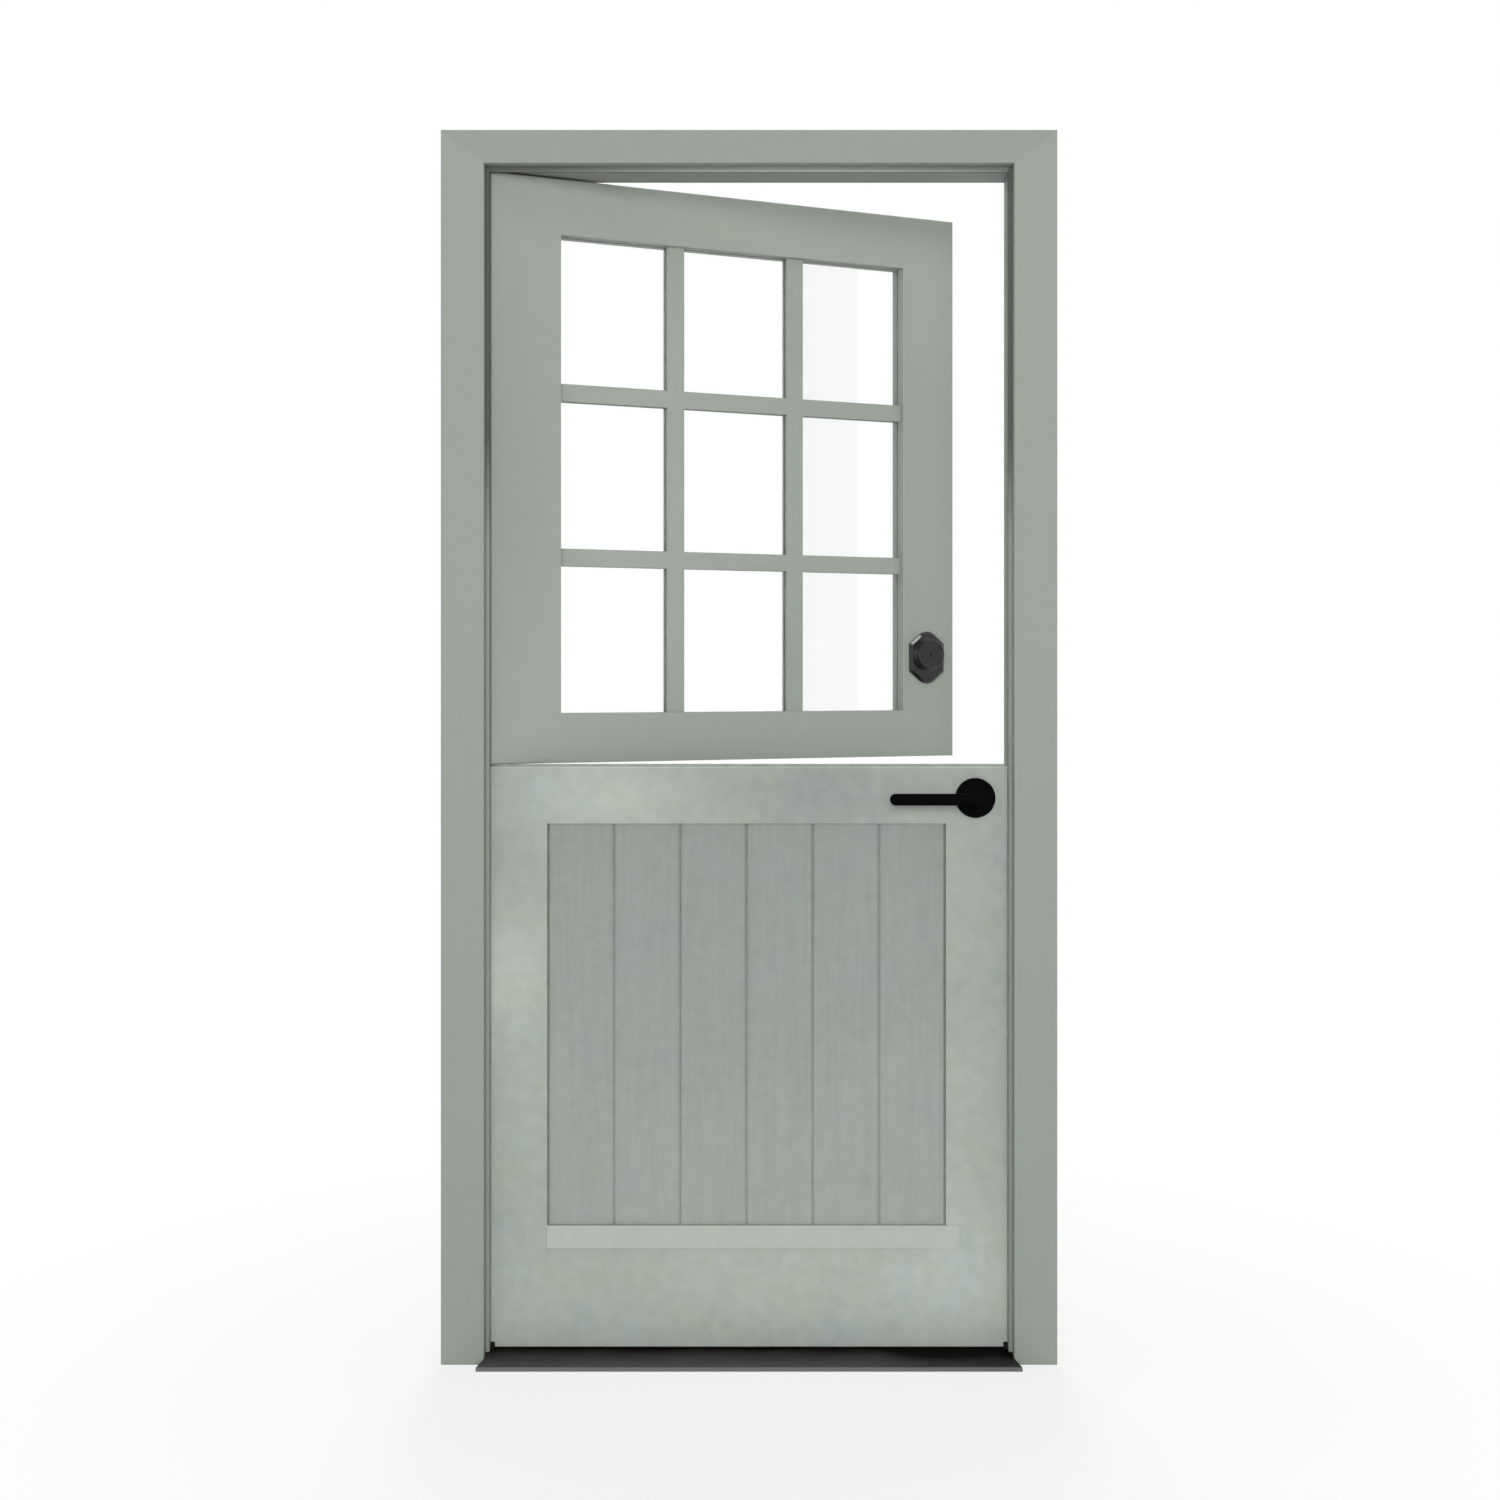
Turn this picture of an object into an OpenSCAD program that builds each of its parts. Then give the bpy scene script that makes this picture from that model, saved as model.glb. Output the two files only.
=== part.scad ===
// Two-part stable door in its frame: glazed upper leaf standing open, boarded lower leaf closed.
// X runs from the hinge side to the lock side, Y runs inwards from the wall's outer face, Z is up.
// The origin is on the floor, under the middle of the opening, in the plane of the wall's outer face.

/* [Opening] */
// Clear width between the casing legs
opening_w = 913; // [760:1:1150]
// Clear height from the floor to the head jamb
opening_h = 2068; // [1950:1:2400]

/* [Frame] */
// Thickness of the jambs
jamb_t = 32; // [30:1:45]
// Depth of the jambs from the wall face inwards
jamb_d = 116; // [108:1:180]
// Width of the casing legs
casing_leg_w = 74; // [50:1:120]
// Height of the casing head
casing_head_h = 57; // [40:1:120]
// Thickness of the casing
casing_t = 19; // [12:1:30]
// Chamfer along the casing's front arrises
casing_arris = 1.5; // [0.5:0.25:4]
// How far the hinge jamb stands back behind the casing's edge
hinge_rebate = 19; // [10:0.5:24]
// How far the stops stand out past the casing's edge
stop_p = 6.5; // [5:0.5:14]
// Chamfer along the stops' front arrises
stop_arris = 1.5; // [0.5:0.25:3]
// Depth of the stops
stop_d = 14; // [8:1:16]
// Thickness of the seals between the stops and the leaves
seal_t = 2.7; // [1.5:0.1:4]
// Width of the seals
seal_w = 5; // [3:0.5:6]
// Inset of the sweep and of the meeting seal from the edges of the leaves
sweep_inset = 7; // [4:0.5:10]
// Diameter of the fixing holes through the jambs
fixing_d = 7; // [5:0.5:10]
// Spacing of the fixing holes across a jamb
fixing_pitch_y = 50; // [30:1:60]
// Spacing of the fixing holes up a jamb
fixing_pitch_z = 1350; // [1300:10:1400]
// Height of the middle of the fixing holes
fixing_mid_z = 1025; // [1000:5:1050]

/* [Sill] */
// Height of the sill under the leaves
sill_h = 14; // [12:0.5:30]
// Gap between the sill and the lower leaf
sill_gap = 2.5; // [2:0.5:8]
// How far the sill's nose reaches in front of the casing
sill_nose = 33; // [10:1:60]
// How far the nose splays past the opening at each side
sill_horn = 9.5; // [0:0.5:40]
// Height of the nose's front lip
sill_lip = 7; // [5:0.5:12]
// Wall of the metal sill cap
sill_cap_t = 2.4; // [1.5:0.1:3.5]
// Depth of the riser under the leaves
riser_d = 39; // [20:1:60]
// Thickness of the riser
riser_t = 9; // [5:0.5:12]
// Width of the corner pads
pad_w = 14; // [10:1:25]
// Height of the corner pads
pad_h = 12; // [8:1:25]

/* [Leaves] */
// Thickness of the leaves
leaf_t = 45; // [40:1:60]
// Depth of the leaves' outer face behind the wall face
leaf_setback = 21; // [20:1:30]
// Gap between a leaf and the jambs
leaf_gap = 3; // [2:0.5:5]
// Height of the lower leaf's top edge
meeting_h = 1027; // [900:1:1150]
// Gap between the two leaves
meeting_gap = 4; // [3:0.5:8]
// Chamfer along the leaves' outer arrises
leaf_arris = 2; // [0.5:0.25:4]
// Angle at which the upper leaf stands open
upper_open = 24; // [0:0.1:95]

/* [Upper leaf] */
// Width of the upper leaf's hinge stile, with the part behind the stop
upper_hinge_stile_w = 129; // [110:1:160]
// Width of the upper leaf's lock stile
upper_lock_stile_w = 110; // [95:1:140]
// Height of the upper leaf's top rail
upper_top_rail_h = 99; // [80:1:160]
// Height of the upper leaf's bottom rail
upper_bottom_rail_h = 88; // [80:1:160]
// Panes across
pane_cols = 3; // [3:1:5]
// Panes up
pane_rows = 3; // [3:1:5]
// Width of the upright glazing bars
upright_bar_w = 33; // [28:1:45]
// Height of the level glazing bars
level_bar_h = 31; // [28:1:45]
// Depth of the bars' front behind the leaf's outer face
bar_setback = 12; // [2:0.5:14]
// Depth of the glazing bars
bar_d = 22; // [18:0.5:28]
// Depth of the glass behind the leaf's outer face
glass_setback = 21; // [16:0.5:26]
// Thickness of the glass
glass_t = 6; // [4:0.5:8]
// Width of the rebate that holds the glass
rebate_w = 12; // [8:0.5:13]
// Room round each pane in its rebate
glass_clear = 1; // [0.5:0.25:3]
// Fit between the glazing beads and the bars
bead_fit = 0.1; // [0.05:0.05:0.5]
// Depth of the outer beads behind the leaf's inner face
bead_inset = 1; // [0:0.5:4]

/* [Lower leaf] */
// Width of the lower leaf's hinge stile, with the part behind the stop
lower_hinge_stile_w = 121; // [100:1:160]
// Width of the lower leaf's lock stile
lower_lock_stile_w = 111; // [95:1:140]
// Height of the lower leaf's top rail
lower_top_rail_h = 99; // [96:1:160]
// Height of the lower leaf's bottom rail
lower_bottom_rail_h = 212; // [120:0.5:300]
// Number of boards
board_count = 6; // [6:1:9]
// Depth of the boards behind both faces of the leaf
board_recess = 6; // [3:0.5:12]
// Chamfer on the boards' long edges
board_vee = 3.8; // [1:0.2:5]
// Gap between neighbouring boards
board_gap = 0.4; // [0.2:0.1:2]
// Length of the boards' tongues
tongue_l = 8; // [5:0.5:12]
// Thickness of the boards' tongues
tongue_t = 8; // [5:0.5:10]
// Play round a tongue in its groove
tongue_play = 0.4; // [0.2:0.1:1]
// Depth of the groove in the stiles and rails
groove_d = 12; // [8:0.5:16]
// Width of the groove in the stiles and rails
groove_w = 14; // [10:0.5:18]
// Height of the bar under the boards
sill_bar_h = 38.5; // [20:0.5:60]
// How far the bar stands out at its foot
sill_bar_foot = 5; // [3:0.5:12]
// How far the bar stands out at its top
sill_bar_top = 1.5; // [1:0.5:3]
// How far the bar runs past the boards on the lock side
sill_bar_run = 24; // [0:1:60]

/* [Hinges] */
// Height of a hinge
hinge_h = 100; // [80:1:120]
// Width of a hinge plate from the pin's centre
hinge_plate_w = 46; // [40:1:50]
// Thickness of the hinge plates
hinge_plate_t = 3; // [2:0.25:4]
// Outer radius of the knuckles
knuckle_r = 6.2; // [5:0.1:8]
// Gap between the leaves' inner face and the knuckles
knuckle_reach = 1.8; // [1:0.1:4]
// Radius of the hinge pins
pin_r = 3; // [2:0.25:4]
// Distance of the outermost hinges from the leaves' ends
hinge_end = 190; // [120:5:220]
// Distance of the middle hinges from the meeting line
hinge_meeting = 130; // [100:5:160]

/* [Locks] */
// Distance of the locks' centres from the leaves' lock edge
backset = 60; // [50:1:64]
// Height of the lever above the lower leaf's top edge, counted down
lever_drop = 54; // [45:1:60]
// Height of the deadbolt above the upper leaf's bottom edge
deadbolt_rise = 195; // [150:1:240]
// Radius of the roses
rose_r = 34.5; // [28:0.5:38]
// Thickness of the roses
rose_t = 9; // [6:0.5:14]
// Length of the lever from the rose's centre to its tip
lever_l = 152; // [110:1:170]
// Height of the lever's bar
lever_bar_h = 20; // [16:0.5:26]
// Thickness of the lever's bar
lever_bar_t = 12; // [10:0.5:16]
// How far the lever stands out from the leaf
lever_reach = 58; // [45:1:75]
// Radius of the lever's neck
neck_r = 9; // [7:0.25:11]
// Side of the square spindle
spindle_w = 8; // [6:0.5:8]
// Chamfer along the lever and the roses
lock_arris = 2; // [0.5:0.25:3]
// Radius of the bolt cases
case_r = 12; // [12:0.5:14]
// Thickness of the faceplates and strikes
plate_t = 2.5; // [1.5:0.25:3]
// Width of the faceplates
face_w = 25; // [24:0.5:30]
// Height of the faceplates
face_h = 57; // [45:1:70]
// Width of the bolts
bolt_w = 12; // [9:0.5:12]
// Height of the bolts
bolt_h = 18; // [14:0.5:18]
// How far the latch bolt stands out
latch_throw = 12; // [8:0.5:14]
// How far the deadbolt can be thrown
deadbolt_throw = 25; // [18:0.5:26]
// Width of the strikes
strike_w = 30; // [28:0.5:40]
// Height of the strikes
strike_h = 70; // [55:1:90]
// Room round a bolt in its strike
strike_room = 1.2; // [0.8:0.1:3]
// Width of the deadbolt's escutcheon
escutcheon_w = 74; // [66:1:90]
// Height of the escutcheon's straight sides
escutcheon_side = 53; // [40:1:70]
// Slant of the escutcheon's shoulders, in degrees
escutcheon_slant = 40; // [30:1:50]
// Radius of the escutcheon's rounded tips
escutcheon_tip_r = 26; // [15:1:30]
// How far the escutcheon's middle is under the key plug
escutcheon_drop = 5.5; // [0:0.5:8]
// Thickness of the escutcheon
escutcheon_t = 8; // [5:0.5:10]
// Width of the escutcheon's bevelled rim
escutcheon_bevel = 4.8; // [2:0.1:8]
// Radius of the collar round the key plug
collar_r = 28.5; // [24:0.5:32]
// Height of the collar
collar_t = 14; // [8:0.5:20]
// How far each of the collar's two rings steps out
collar_step = 1.9; // [1:0.1:3]
// Radius of the key plug
plug_r = 8; // [6:0.25:10]
// Radius of the thumbturn's plate
turn_plate_r = 33; // [28:0.5:38]
// Height of the thumbturn's grip
turn_h = 40; // [30:1:50]
// Thickness of the thumbturn's grip
turn_t = 11; // [8:0.5:14]
// Depth of the thumbturn's grip
turn_d = 20; // [14:0.5:26]

/* [Joining bolt] */
// Distance of the joining bolt from the leaves' lock edge
joining_inset = 223.5; // [160:0.5:300]
// Radius of the joining bolt's rod
rod_r = 5; // [4:0.25:7]
// How far the joining bolt can be thrown
rod_throw = 24; // [15:0.5:26]
// Width of the joining bolt's plate
joining_plate_w = 44; // [40:1:60]
// Height of the guides
guide_h = 14; // [10:0.5:16]

/* [Fits] */
// Running clearance round pins and shafts
run_clear = 0.05; // [0.02:0.01:0.1]
// Clearance between the ends of moving pieces
end_clear = 0.3; // [0.2:0.05:0.6]

/* [Hidden] */
$fn = 64;

paint = [0.55, 0.60, 0.54];
boards_paint = [0.52, 0.57, 0.51];
black = [0.05, 0.05, 0.05];
bronze = [0.13, 0.13, 0.12];
steel = [0.62, 0.62, 0.60];
rubber_grey = [0.22, 0.24, 0.22];
clear_glass = [0.85, 0.92, 0.90, 0.35];

cut = 1;
half_w = opening_w / 2;
hinge_face_x = -half_w - hinge_rebate;
stop_edge_x = half_w - stop_p;

leaf_x0 = hinge_face_x + leaf_gap;
leaf_x1 = half_w - leaf_gap;
leaf_y0 = leaf_setback;
leaf_y1 = leaf_setback + leaf_t;
leaf_yc = leaf_setback + leaf_t / 2;
lower_z0 = sill_h + sill_gap;
lower_z1 = meeting_h;
upper_z0 = meeting_h + meeting_gap;
upper_z1 = opening_h - leaf_gap;

stop_y1 = leaf_y0 - seal_t - end_clear;
stop_y0 = stop_y1 - stop_d;

// The sill's slope runs from the nose up to the riser's front edge.
nose_y = -casing_t - sill_nose;
crest_y = leaf_y0 + sill_cap_t * 2;
riser_y0 = crest_y + sill_cap_t * 2;
riser_y1 = riser_y0 + riser_d;
apron_h = sill_lip;
sill_end = half_w + max(sill_horn, hinge_rebate);
sill_slope = (sill_h - sill_lip) / (crest_y - nose_y);
cap_drop = sill_cap_t * sqrt(1 + sill_slope * sill_slope);
function cap_underside(y) = sill_lip + (y - nose_y) * sill_slope - cap_drop;

// The glazed opening and its cells, each pane with its rebate.
glaze_x0 = leaf_x0 + upper_hinge_stile_w;
glaze_x1 = leaf_x1 - upper_lock_stile_w;
glaze_z0 = upper_z0 + upper_bottom_rail_h;
glaze_z1 = upper_z1 - upper_top_rail_h;
pane_w = (glaze_x1 - glaze_x0 - (pane_cols - 1) * upright_bar_w) / pane_cols;
pane_h = (glaze_z1 - glaze_z0 - (pane_rows - 1) * level_bar_h) / pane_rows;
glass_y0 = leaf_y0 + glass_setback;
glass_y1 = glass_y0 + glass_t;
bar_y0 = leaf_y0 + bar_setback;
bar_y1 = bar_y0 + bar_d;
bar_back_y = bar_y1 - bead_fit;
function pane_x(i) = glaze_x0 + i * (pane_w + upright_bar_w);
function pane_z(j) = glaze_z0 + j * (pane_h + level_bar_h);

// The boarded panel of the lower leaf.
panel_x0 = leaf_x0 + lower_hinge_stile_w;
panel_x1 = leaf_x1 - lower_lock_stile_w;
panel_z0 = lower_z0 + lower_bottom_rail_h;
panel_z1 = lower_z1 - lower_top_rail_h;
board_pitch = (panel_x1 - panel_x0) / board_count;
board_y0 = leaf_y0 + board_recess;
board_y1 = leaf_y1 - board_recess;
edge_tongue_l = groove_d - tongue_play;
edge_tongue_t = groove_w - tongue_play;

// The hinge line: the knuckles stand inside the reveal, clear of the jamb and of the leaves' inner face.
pin_x = hinge_face_x + knuckle_r + end_clear;
pin_y = leaf_y1 + knuckle_r + knuckle_reach;
knuckle_h = hinge_h / 5;
upper_hinges = [upper_z0 + hinge_meeting, upper_z1 - hinge_end];
lower_hinges = [lower_z0 + hinge_end, lower_z1 - hinge_meeting];
all_hinges = concat(upper_hinges, lower_hinges);
screw_r = 2.2;
screw_head_r = 4.2;
screw_edge = 6;
screw_rows = [-0.35, 0, 0.35];
screw_stagger = 5;

// The locks.
lock_x = leaf_x1 - backset;
lever_z = lower_z1 - lever_drop;
deadbolt_z = upper_z0 + deadbolt_rise;
hub_r = spindle_w / 2 * sqrt(2) + end_clear * 2;
cross_r = neck_r + 1;
case_back = hub_r + 4;
case_fit = 0.1;
bolt_play = 0.2;
bolt_back_x = lock_x + hub_r + end_clear;
tail_w = spindle_w;
tail_t = 2.6;

// The joining bolt stands on the inner face, under and over the meeting line.
joining_x = leaf_x1 - joining_inset;
joining_plate_t = plate_t;
joining_z1 = lower_z1 - 5;
joining_z0 = lower_z1 - lower_top_rail_h + 5;
rod_y = leaf_y1 + joining_plate_t + rod_r + 3;
guide_w = 2 * rod_r + 12;
guide_d = 2 * (rod_r + 3);
rod_z0 = joining_z0 + 1;
rod_z1 = lower_z1 - 3;
knob_z = joining_z0 + guide_h + rod_r + 6;

// The ends of a length laid out evenly about its middle.
function about(middle, length) = [middle - length / 2, middle + length / 2];

// A block from its two ends along X, Y and Z.
module block(x, y, z) translate([x[0], y[0], z[0]]) cube([x[1] - x[0], y[1] - y[0], z[1] - z[0]]);

// Extrude a profile drawn in Y and Z along X.
module along_x(x0, length) translate([x0, 0, 0]) rotate([90, 0, 90]) linear_extrude(length) children();

// Extrude a profile drawn in X and Z along Y.
module along_y(y0, length)
  translate([0, y0 + length, 0]) rotate([90, 0, 0]) linear_extrude(length) children();

// Turn a shape that stands on Z so that it stands on the leaves' outer face, pointing outwards.
module outwards(x, z) translate([x, leaf_y0, z]) rotate([90, 0, 0]) children();

// The same on the leaves' inner face, pointing inwards.
module inwards(x, z) translate([x, leaf_y1, z]) rotate([-90, 0, 0]) children();

// Mirror a piece of the outer face to the inner face.
module to_inner_face() translate([0, 2 * leaf_yc, 0]) mirror([0, 1, 0]) children();

module chamfered(low, high, c) polygon([
  [low[0] + c, low[1]], [high[0] - c, low[1]], [high[0], low[1] + c], [high[0], high[1] - c],
  [high[0] - c, high[1]], [low[0] + c, high[1]], [low[0], high[1] - c], [low[0], low[1] + c]
]);

// Swing a piece of the upper leaf to the angle at which it stands open.
module swung()
  translate([pin_x, pin_y, 0]) rotate([0, 0, upper_open]) translate([-pin_x, -pin_y, 0]) children();

// Frame

module hinge_mortises(heights) {
  for (z = heights)
    block(
      [hinge_face_x - hinge_plate_t, hinge_face_x + cut],
      [pin_y - hinge_plate_w, pin_y + pin_r],
      about(z, hinge_h)
    );
}

module fixing_holes(x0) {
  for (dy = [-0.5, 0.5], dz = [-0.5, 0.5])
    translate([x0 - cut, jamb_d / 2 + dy * fixing_pitch_y, fixing_mid_z + dz * fixing_pitch_z])
      rotate([0, 90, 0]) cylinder(h = jamb_t + 2 * cut, d = fixing_d);
}

module strike_pocket(z, throw) {
  block([half_w - cut, half_w + plate_t], about(leaf_yc, strike_w), about(z, strike_h));
  block(
    [half_w, half_w + throw],
    about(leaf_yc, bolt_w + 2 * strike_room),
    about(z, bolt_h + 2 * strike_room)
  );
}

module hinge_jamb() {
  color(paint) difference() {
    block([hinge_face_x - jamb_t, hinge_face_x], [0, jamb_d], [0, opening_h]);
    hinge_mortises(all_hinges);
    fixing_holes(hinge_face_x - jamb_t);
  }
}

module lock_jamb() {
  color(paint) difference() {
    block([half_w, half_w + jamb_t], [0, jamb_d], [0, opening_h]);
    strike_pocket(lever_z, latch_throw);
    strike_pocket(deadbolt_z, deadbolt_throw);
    fixing_holes(half_w);
  }
}

module head_jamb() {
  color(paint)
    block([hinge_face_x - jamb_t, half_w + jamb_t], [0, jamb_d], [opening_h, opening_h + jamb_t]);
}

module casing_left() {
  top = opening_h + casing_head_h;
  color(paint) intersection() {
    along_y(-casing_t, casing_t) polygon([
      [-half_w - casing_leg_w, 0], [-half_w, 0], [-half_w, opening_h], [-half_w - casing_leg_w, top]
    ]);
    linear_extrude(top) polygon([
      [-half_w - casing_leg_w, 0], [-half_w - casing_leg_w, casing_arris - casing_t],
      [-half_w - casing_leg_w + casing_arris, -casing_t], [-half_w - casing_arris, -casing_t],
      [-half_w, casing_arris - casing_t], [-half_w, 0]
    ]);
  }
}

module casing_right() mirror([1, 0, 0]) casing_left();

module casing_head() {
  top = opening_h + casing_head_h;
  side = half_w + casing_leg_w;
  color(paint) intersection() {
    along_y(-casing_t, casing_t)
      polygon([[-half_w, opening_h], [half_w, opening_h], [side, top], [-side, top]]);
    along_x(-side, 2 * side) polygon([
      [0, opening_h], [casing_arris - casing_t, opening_h], [-casing_t, opening_h + casing_arris],
      [-casing_t, top - casing_arris], [casing_arris - casing_t, top], [0, top]
    ]);
  }
}

// The hinge side's stop is deep, because the leaves reach far behind it; it fills the jamb's rebate.
module stop_hinge_side() {
  color(paint) translate([0, 0, sill_h]) linear_extrude(opening_h - sill_h) polygon([
    [hinge_face_x, 0], [-half_w, 0], [-half_w, stop_y0], [-stop_edge_x - stop_arris, stop_y0],
    [-stop_edge_x, stop_y0 + stop_arris], [-stop_edge_x, stop_y1], [hinge_face_x, stop_y1]
  ]);
}

module stop_lock_side() {
  color(paint) translate([0, 0, sill_h]) linear_extrude(opening_h - sill_h) polygon([
    [half_w, stop_y0], [half_w, stop_y1], [stop_edge_x, stop_y1],
    [stop_edge_x, stop_y0 + stop_arris], [stop_edge_x + stop_arris, stop_y0]
  ]);
}

module stop_head() {
  foot_z = opening_h - stop_p;
  color(paint) along_x(-stop_edge_x, 2 * stop_edge_x) polygon([
    [stop_y0, opening_h], [stop_y1, opening_h], [stop_y1, foot_z],
    [stop_y0 + stop_arris, foot_z], [stop_y0, foot_z + stop_arris]
  ]);
}

module frame_seals() {
  color(rubber_grey) {
    for (x = [-stop_edge_x - seal_w, stop_edge_x])
      block([x, x + seal_w], [stop_y1, stop_y1 + seal_t], [sill_h + pad_h, opening_h]);
    block(
      [-stop_edge_x, stop_edge_x],
      [stop_y1, stop_y1 + seal_t],
      [opening_h - stop_p, opening_h - stop_p + seal_w]
    );
  }
}

// The sill runs from jamb to jamb, between the casing legs, and its nose splays out in front of them.
module between_jambs() {
  top = sill_h + 2 * cut;
  far = sill_end + cut;
  difference() {
    children();
    for (side = [0, 1]) mirror([side, 0, 0]) translate([0, 0, -cut]) linear_extrude(top) polygon([
      [half_w, 0], [half_w, -casing_t], [half_w + sill_horn, nose_y], [half_w + sill_horn, nose_y - cut],
      [far, nose_y - cut], [far, 0]
    ]);
    block([half_w, far], [-cut, jamb_d + cut], [-cut, top]);
    block([-far, hinge_face_x], [-cut, jamb_d + cut], [-cut, top]);
  }
}

module sill_core() {
  foot_y = nose_y + sill_cap_t;
  color(bronze) between_jambs() along_x(-sill_end, 2 * sill_end) polygon([
    [foot_y, 0], [foot_y, cap_underside(foot_y)], [crest_y, cap_underside(crest_y)],
    [riser_y0, cap_underside(crest_y)], [riser_y0, sill_h - riser_t], [riser_y1, sill_h - riser_t],
    [riser_y1, sill_h - sill_cap_t], [jamb_d, apron_h], [jamb_d, 0]
  ]);
}

module sill_cap() {
  foot_y = nose_y + sill_cap_t;
  color(bronze) between_jambs() along_x(-sill_end, 2 * sill_end) polygon([
    [nose_y, 0], [nose_y, sill_lip - casing_arris],
    [nose_y + casing_arris, sill_lip + casing_arris * sill_slope],
    [crest_y, sill_h], [riser_y0, sill_h], [riser_y0, cap_underside(crest_y)],
    [crest_y, cap_underside(crest_y)], [foot_y, cap_underside(foot_y)], [foot_y, 0]
  ]);
}

module sill_riser() {
  color(bronze) block([hinge_face_x, half_w], [riser_y0, riser_y1], [sill_h - riser_t, sill_h]);
}

module corner_pads() {
  color(black) for (side = [0, 1]) mirror([side, 0, 0])
    block([-half_w, -half_w + pad_w], [stop_y1, stop_y1 + seal_t], [sill_h, sill_h + pad_h]);
}

// Hinges

module knuckles(z, picks, clear) {
  for (k = picks)
    translate([pin_x, pin_y, z - hinge_h / 2 + k * knuckle_h + clear])
      cylinder(h = knuckle_h - 2 * clear, r = knuckle_r);
}

module pin_bore(z) {
  translate([pin_x, pin_y, z - hinge_h / 2 - cut]) cylinder(h = hinge_h + 2 * cut, r = pin_r + run_clear);
}

// Countersunk holes down a plate whose seen face is at x; way is 1 where that face looks to +X.
module plate_screw_holes(x, y, z, way) {
  for (i = [0 : len(screw_rows) - 1])
    translate([x, y + (i % 2 == 0 ? screw_stagger : -screw_stagger), z + screw_rows[i] * hinge_h])
      rotate([0, -way * 90, 0])
        cylinder(h = hinge_plate_t, r1 = screw_head_r, r2 = screw_r);
}

module frame_hinge_plate(z) {
  web = 2 * pin_r;
  difference() {
    union() {
      block(
        [hinge_face_x - hinge_plate_t, hinge_face_x],
        [pin_y - hinge_plate_w, pin_y + pin_r],
        about(z, hinge_h)
      );
      knuckles(z, [0, 2, 4], 0);
      for (k = [0, 2, 4])
        translate([hinge_face_x - cut, pin_y - web / 2, z - hinge_h / 2 + k * knuckle_h])
          cube([pin_x - hinge_face_x + cut, web, knuckle_h]);
    }
    pin_bore(z);
    plate_screw_holes(hinge_face_x, pin_y - hinge_plate_w * 0.6, z, 1);
  }
}

module frame_hinge_plates() color(steel) for (z = all_hinges) frame_hinge_plate(z);

module hinge_pins() {
  color(steel) for (z = all_hinges) translate([pin_x, pin_y, z]) {
    translate([0, 0, -hinge_h / 2]) cylinder(h = hinge_h, r = pin_r);
    for (end = [0, 1]) mirror([0, 0, end])
      translate([0, 0, hinge_h / 2]) cylinder(h = pin_r, r = knuckle_r - cut);
  }
}

module leaf_hinge_plate(z) {
  difference() {
    union() {
      block([leaf_x0, leaf_x0 + hinge_plate_t], [pin_y - hinge_plate_w, leaf_y1], about(z, hinge_h));
      knuckles(z, [1, 3], end_clear);
      for (k = [1, 3])
        translate([leaf_x0, leaf_y1 - cut, z - hinge_h / 2 + k * knuckle_h + end_clear])
          cube([hinge_plate_t, pin_y - leaf_y1 + cut, knuckle_h - 2 * end_clear]);
    }
    pin_bore(z);
    plate_screw_holes(leaf_x0, pin_y - hinge_plate_w * 0.6, z, -1);
  }
}

module upper_hinge_plates() color(steel) swung() for (z = upper_hinges) leaf_hinge_plate(z);

module lower_hinge_plates() color(steel) for (z = lower_hinges) leaf_hinge_plate(z);

module leaf_hinge_mortises(heights) {
  for (z = heights)
    block(
      [leaf_x0 - cut, leaf_x0 + hinge_plate_t],
      [pin_y - hinge_plate_w, leaf_y1 + cut],
      about(z, hinge_h)
    );
}

// Leaves

// The whole block of a leaf, with its outer arrises chamfered; stiles and rails are cut out of it.
module leaf_block(z0, z1) {
  intersection() {
    translate([0, 0, z0]) linear_extrude(z1 - z0)
      chamfered([leaf_x0, leaf_y0], [leaf_x1, leaf_y1], leaf_arris);
    along_x(leaf_x0, leaf_x1 - leaf_x0) chamfered([leaf_y0, z0], [leaf_y1, z1], leaf_arris);
  }
}

module leaf_member(z0, z1, low_x, high_x, low_z, high_z) {
  intersection() {
    leaf_block(z0, z1);
    block([low_x, high_x], [leaf_y0 - cut, leaf_y1 + cut], [low_z, high_z]);
  }
}

module lock_cuts(z) {
  case_x0 = lock_x - case_back - case_fit;
  translate([case_x0, leaf_yc, z]) rotate([0, 90, 0])
    cylinder(h = leaf_x1 - case_x0 + cut, r = case_r + case_fit);
  translate([lock_x, leaf_y0 - cut, z]) rotate([-90, 0, 0]) cylinder(h = leaf_t + 2 * cut, r = cross_r);
  block([leaf_x1 - plate_t, leaf_x1 + cut], about(leaf_yc, face_w), about(z, face_h));
}

module glass_rebate() {
  block(
    [glaze_x0 - rebate_w, glaze_x1 + rebate_w],
    [glass_y0, leaf_y1 + cut],
    [glaze_z0 - rebate_w, glaze_z1 + rebate_w]
  );
}

module upper_hinge_stile() {
  color(paint) swung() difference() {
    leaf_member(upper_z0, upper_z1, leaf_x0, glaze_x0, upper_z0, upper_z1);
    glass_rebate();
    leaf_hinge_mortises(upper_hinges);
  }
}

module upper_lock_stile() {
  color(paint) swung() difference() {
    leaf_member(upper_z0, upper_z1, glaze_x1, leaf_x1, upper_z0, upper_z1);
    glass_rebate();
    lock_cuts(deadbolt_z);
  }
}

module upper_top_rail() {
  color(paint) swung() difference() {
    leaf_member(upper_z0, upper_z1, glaze_x0, glaze_x1, glaze_z1, upper_z1);
    glass_rebate();
  }
}

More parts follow.
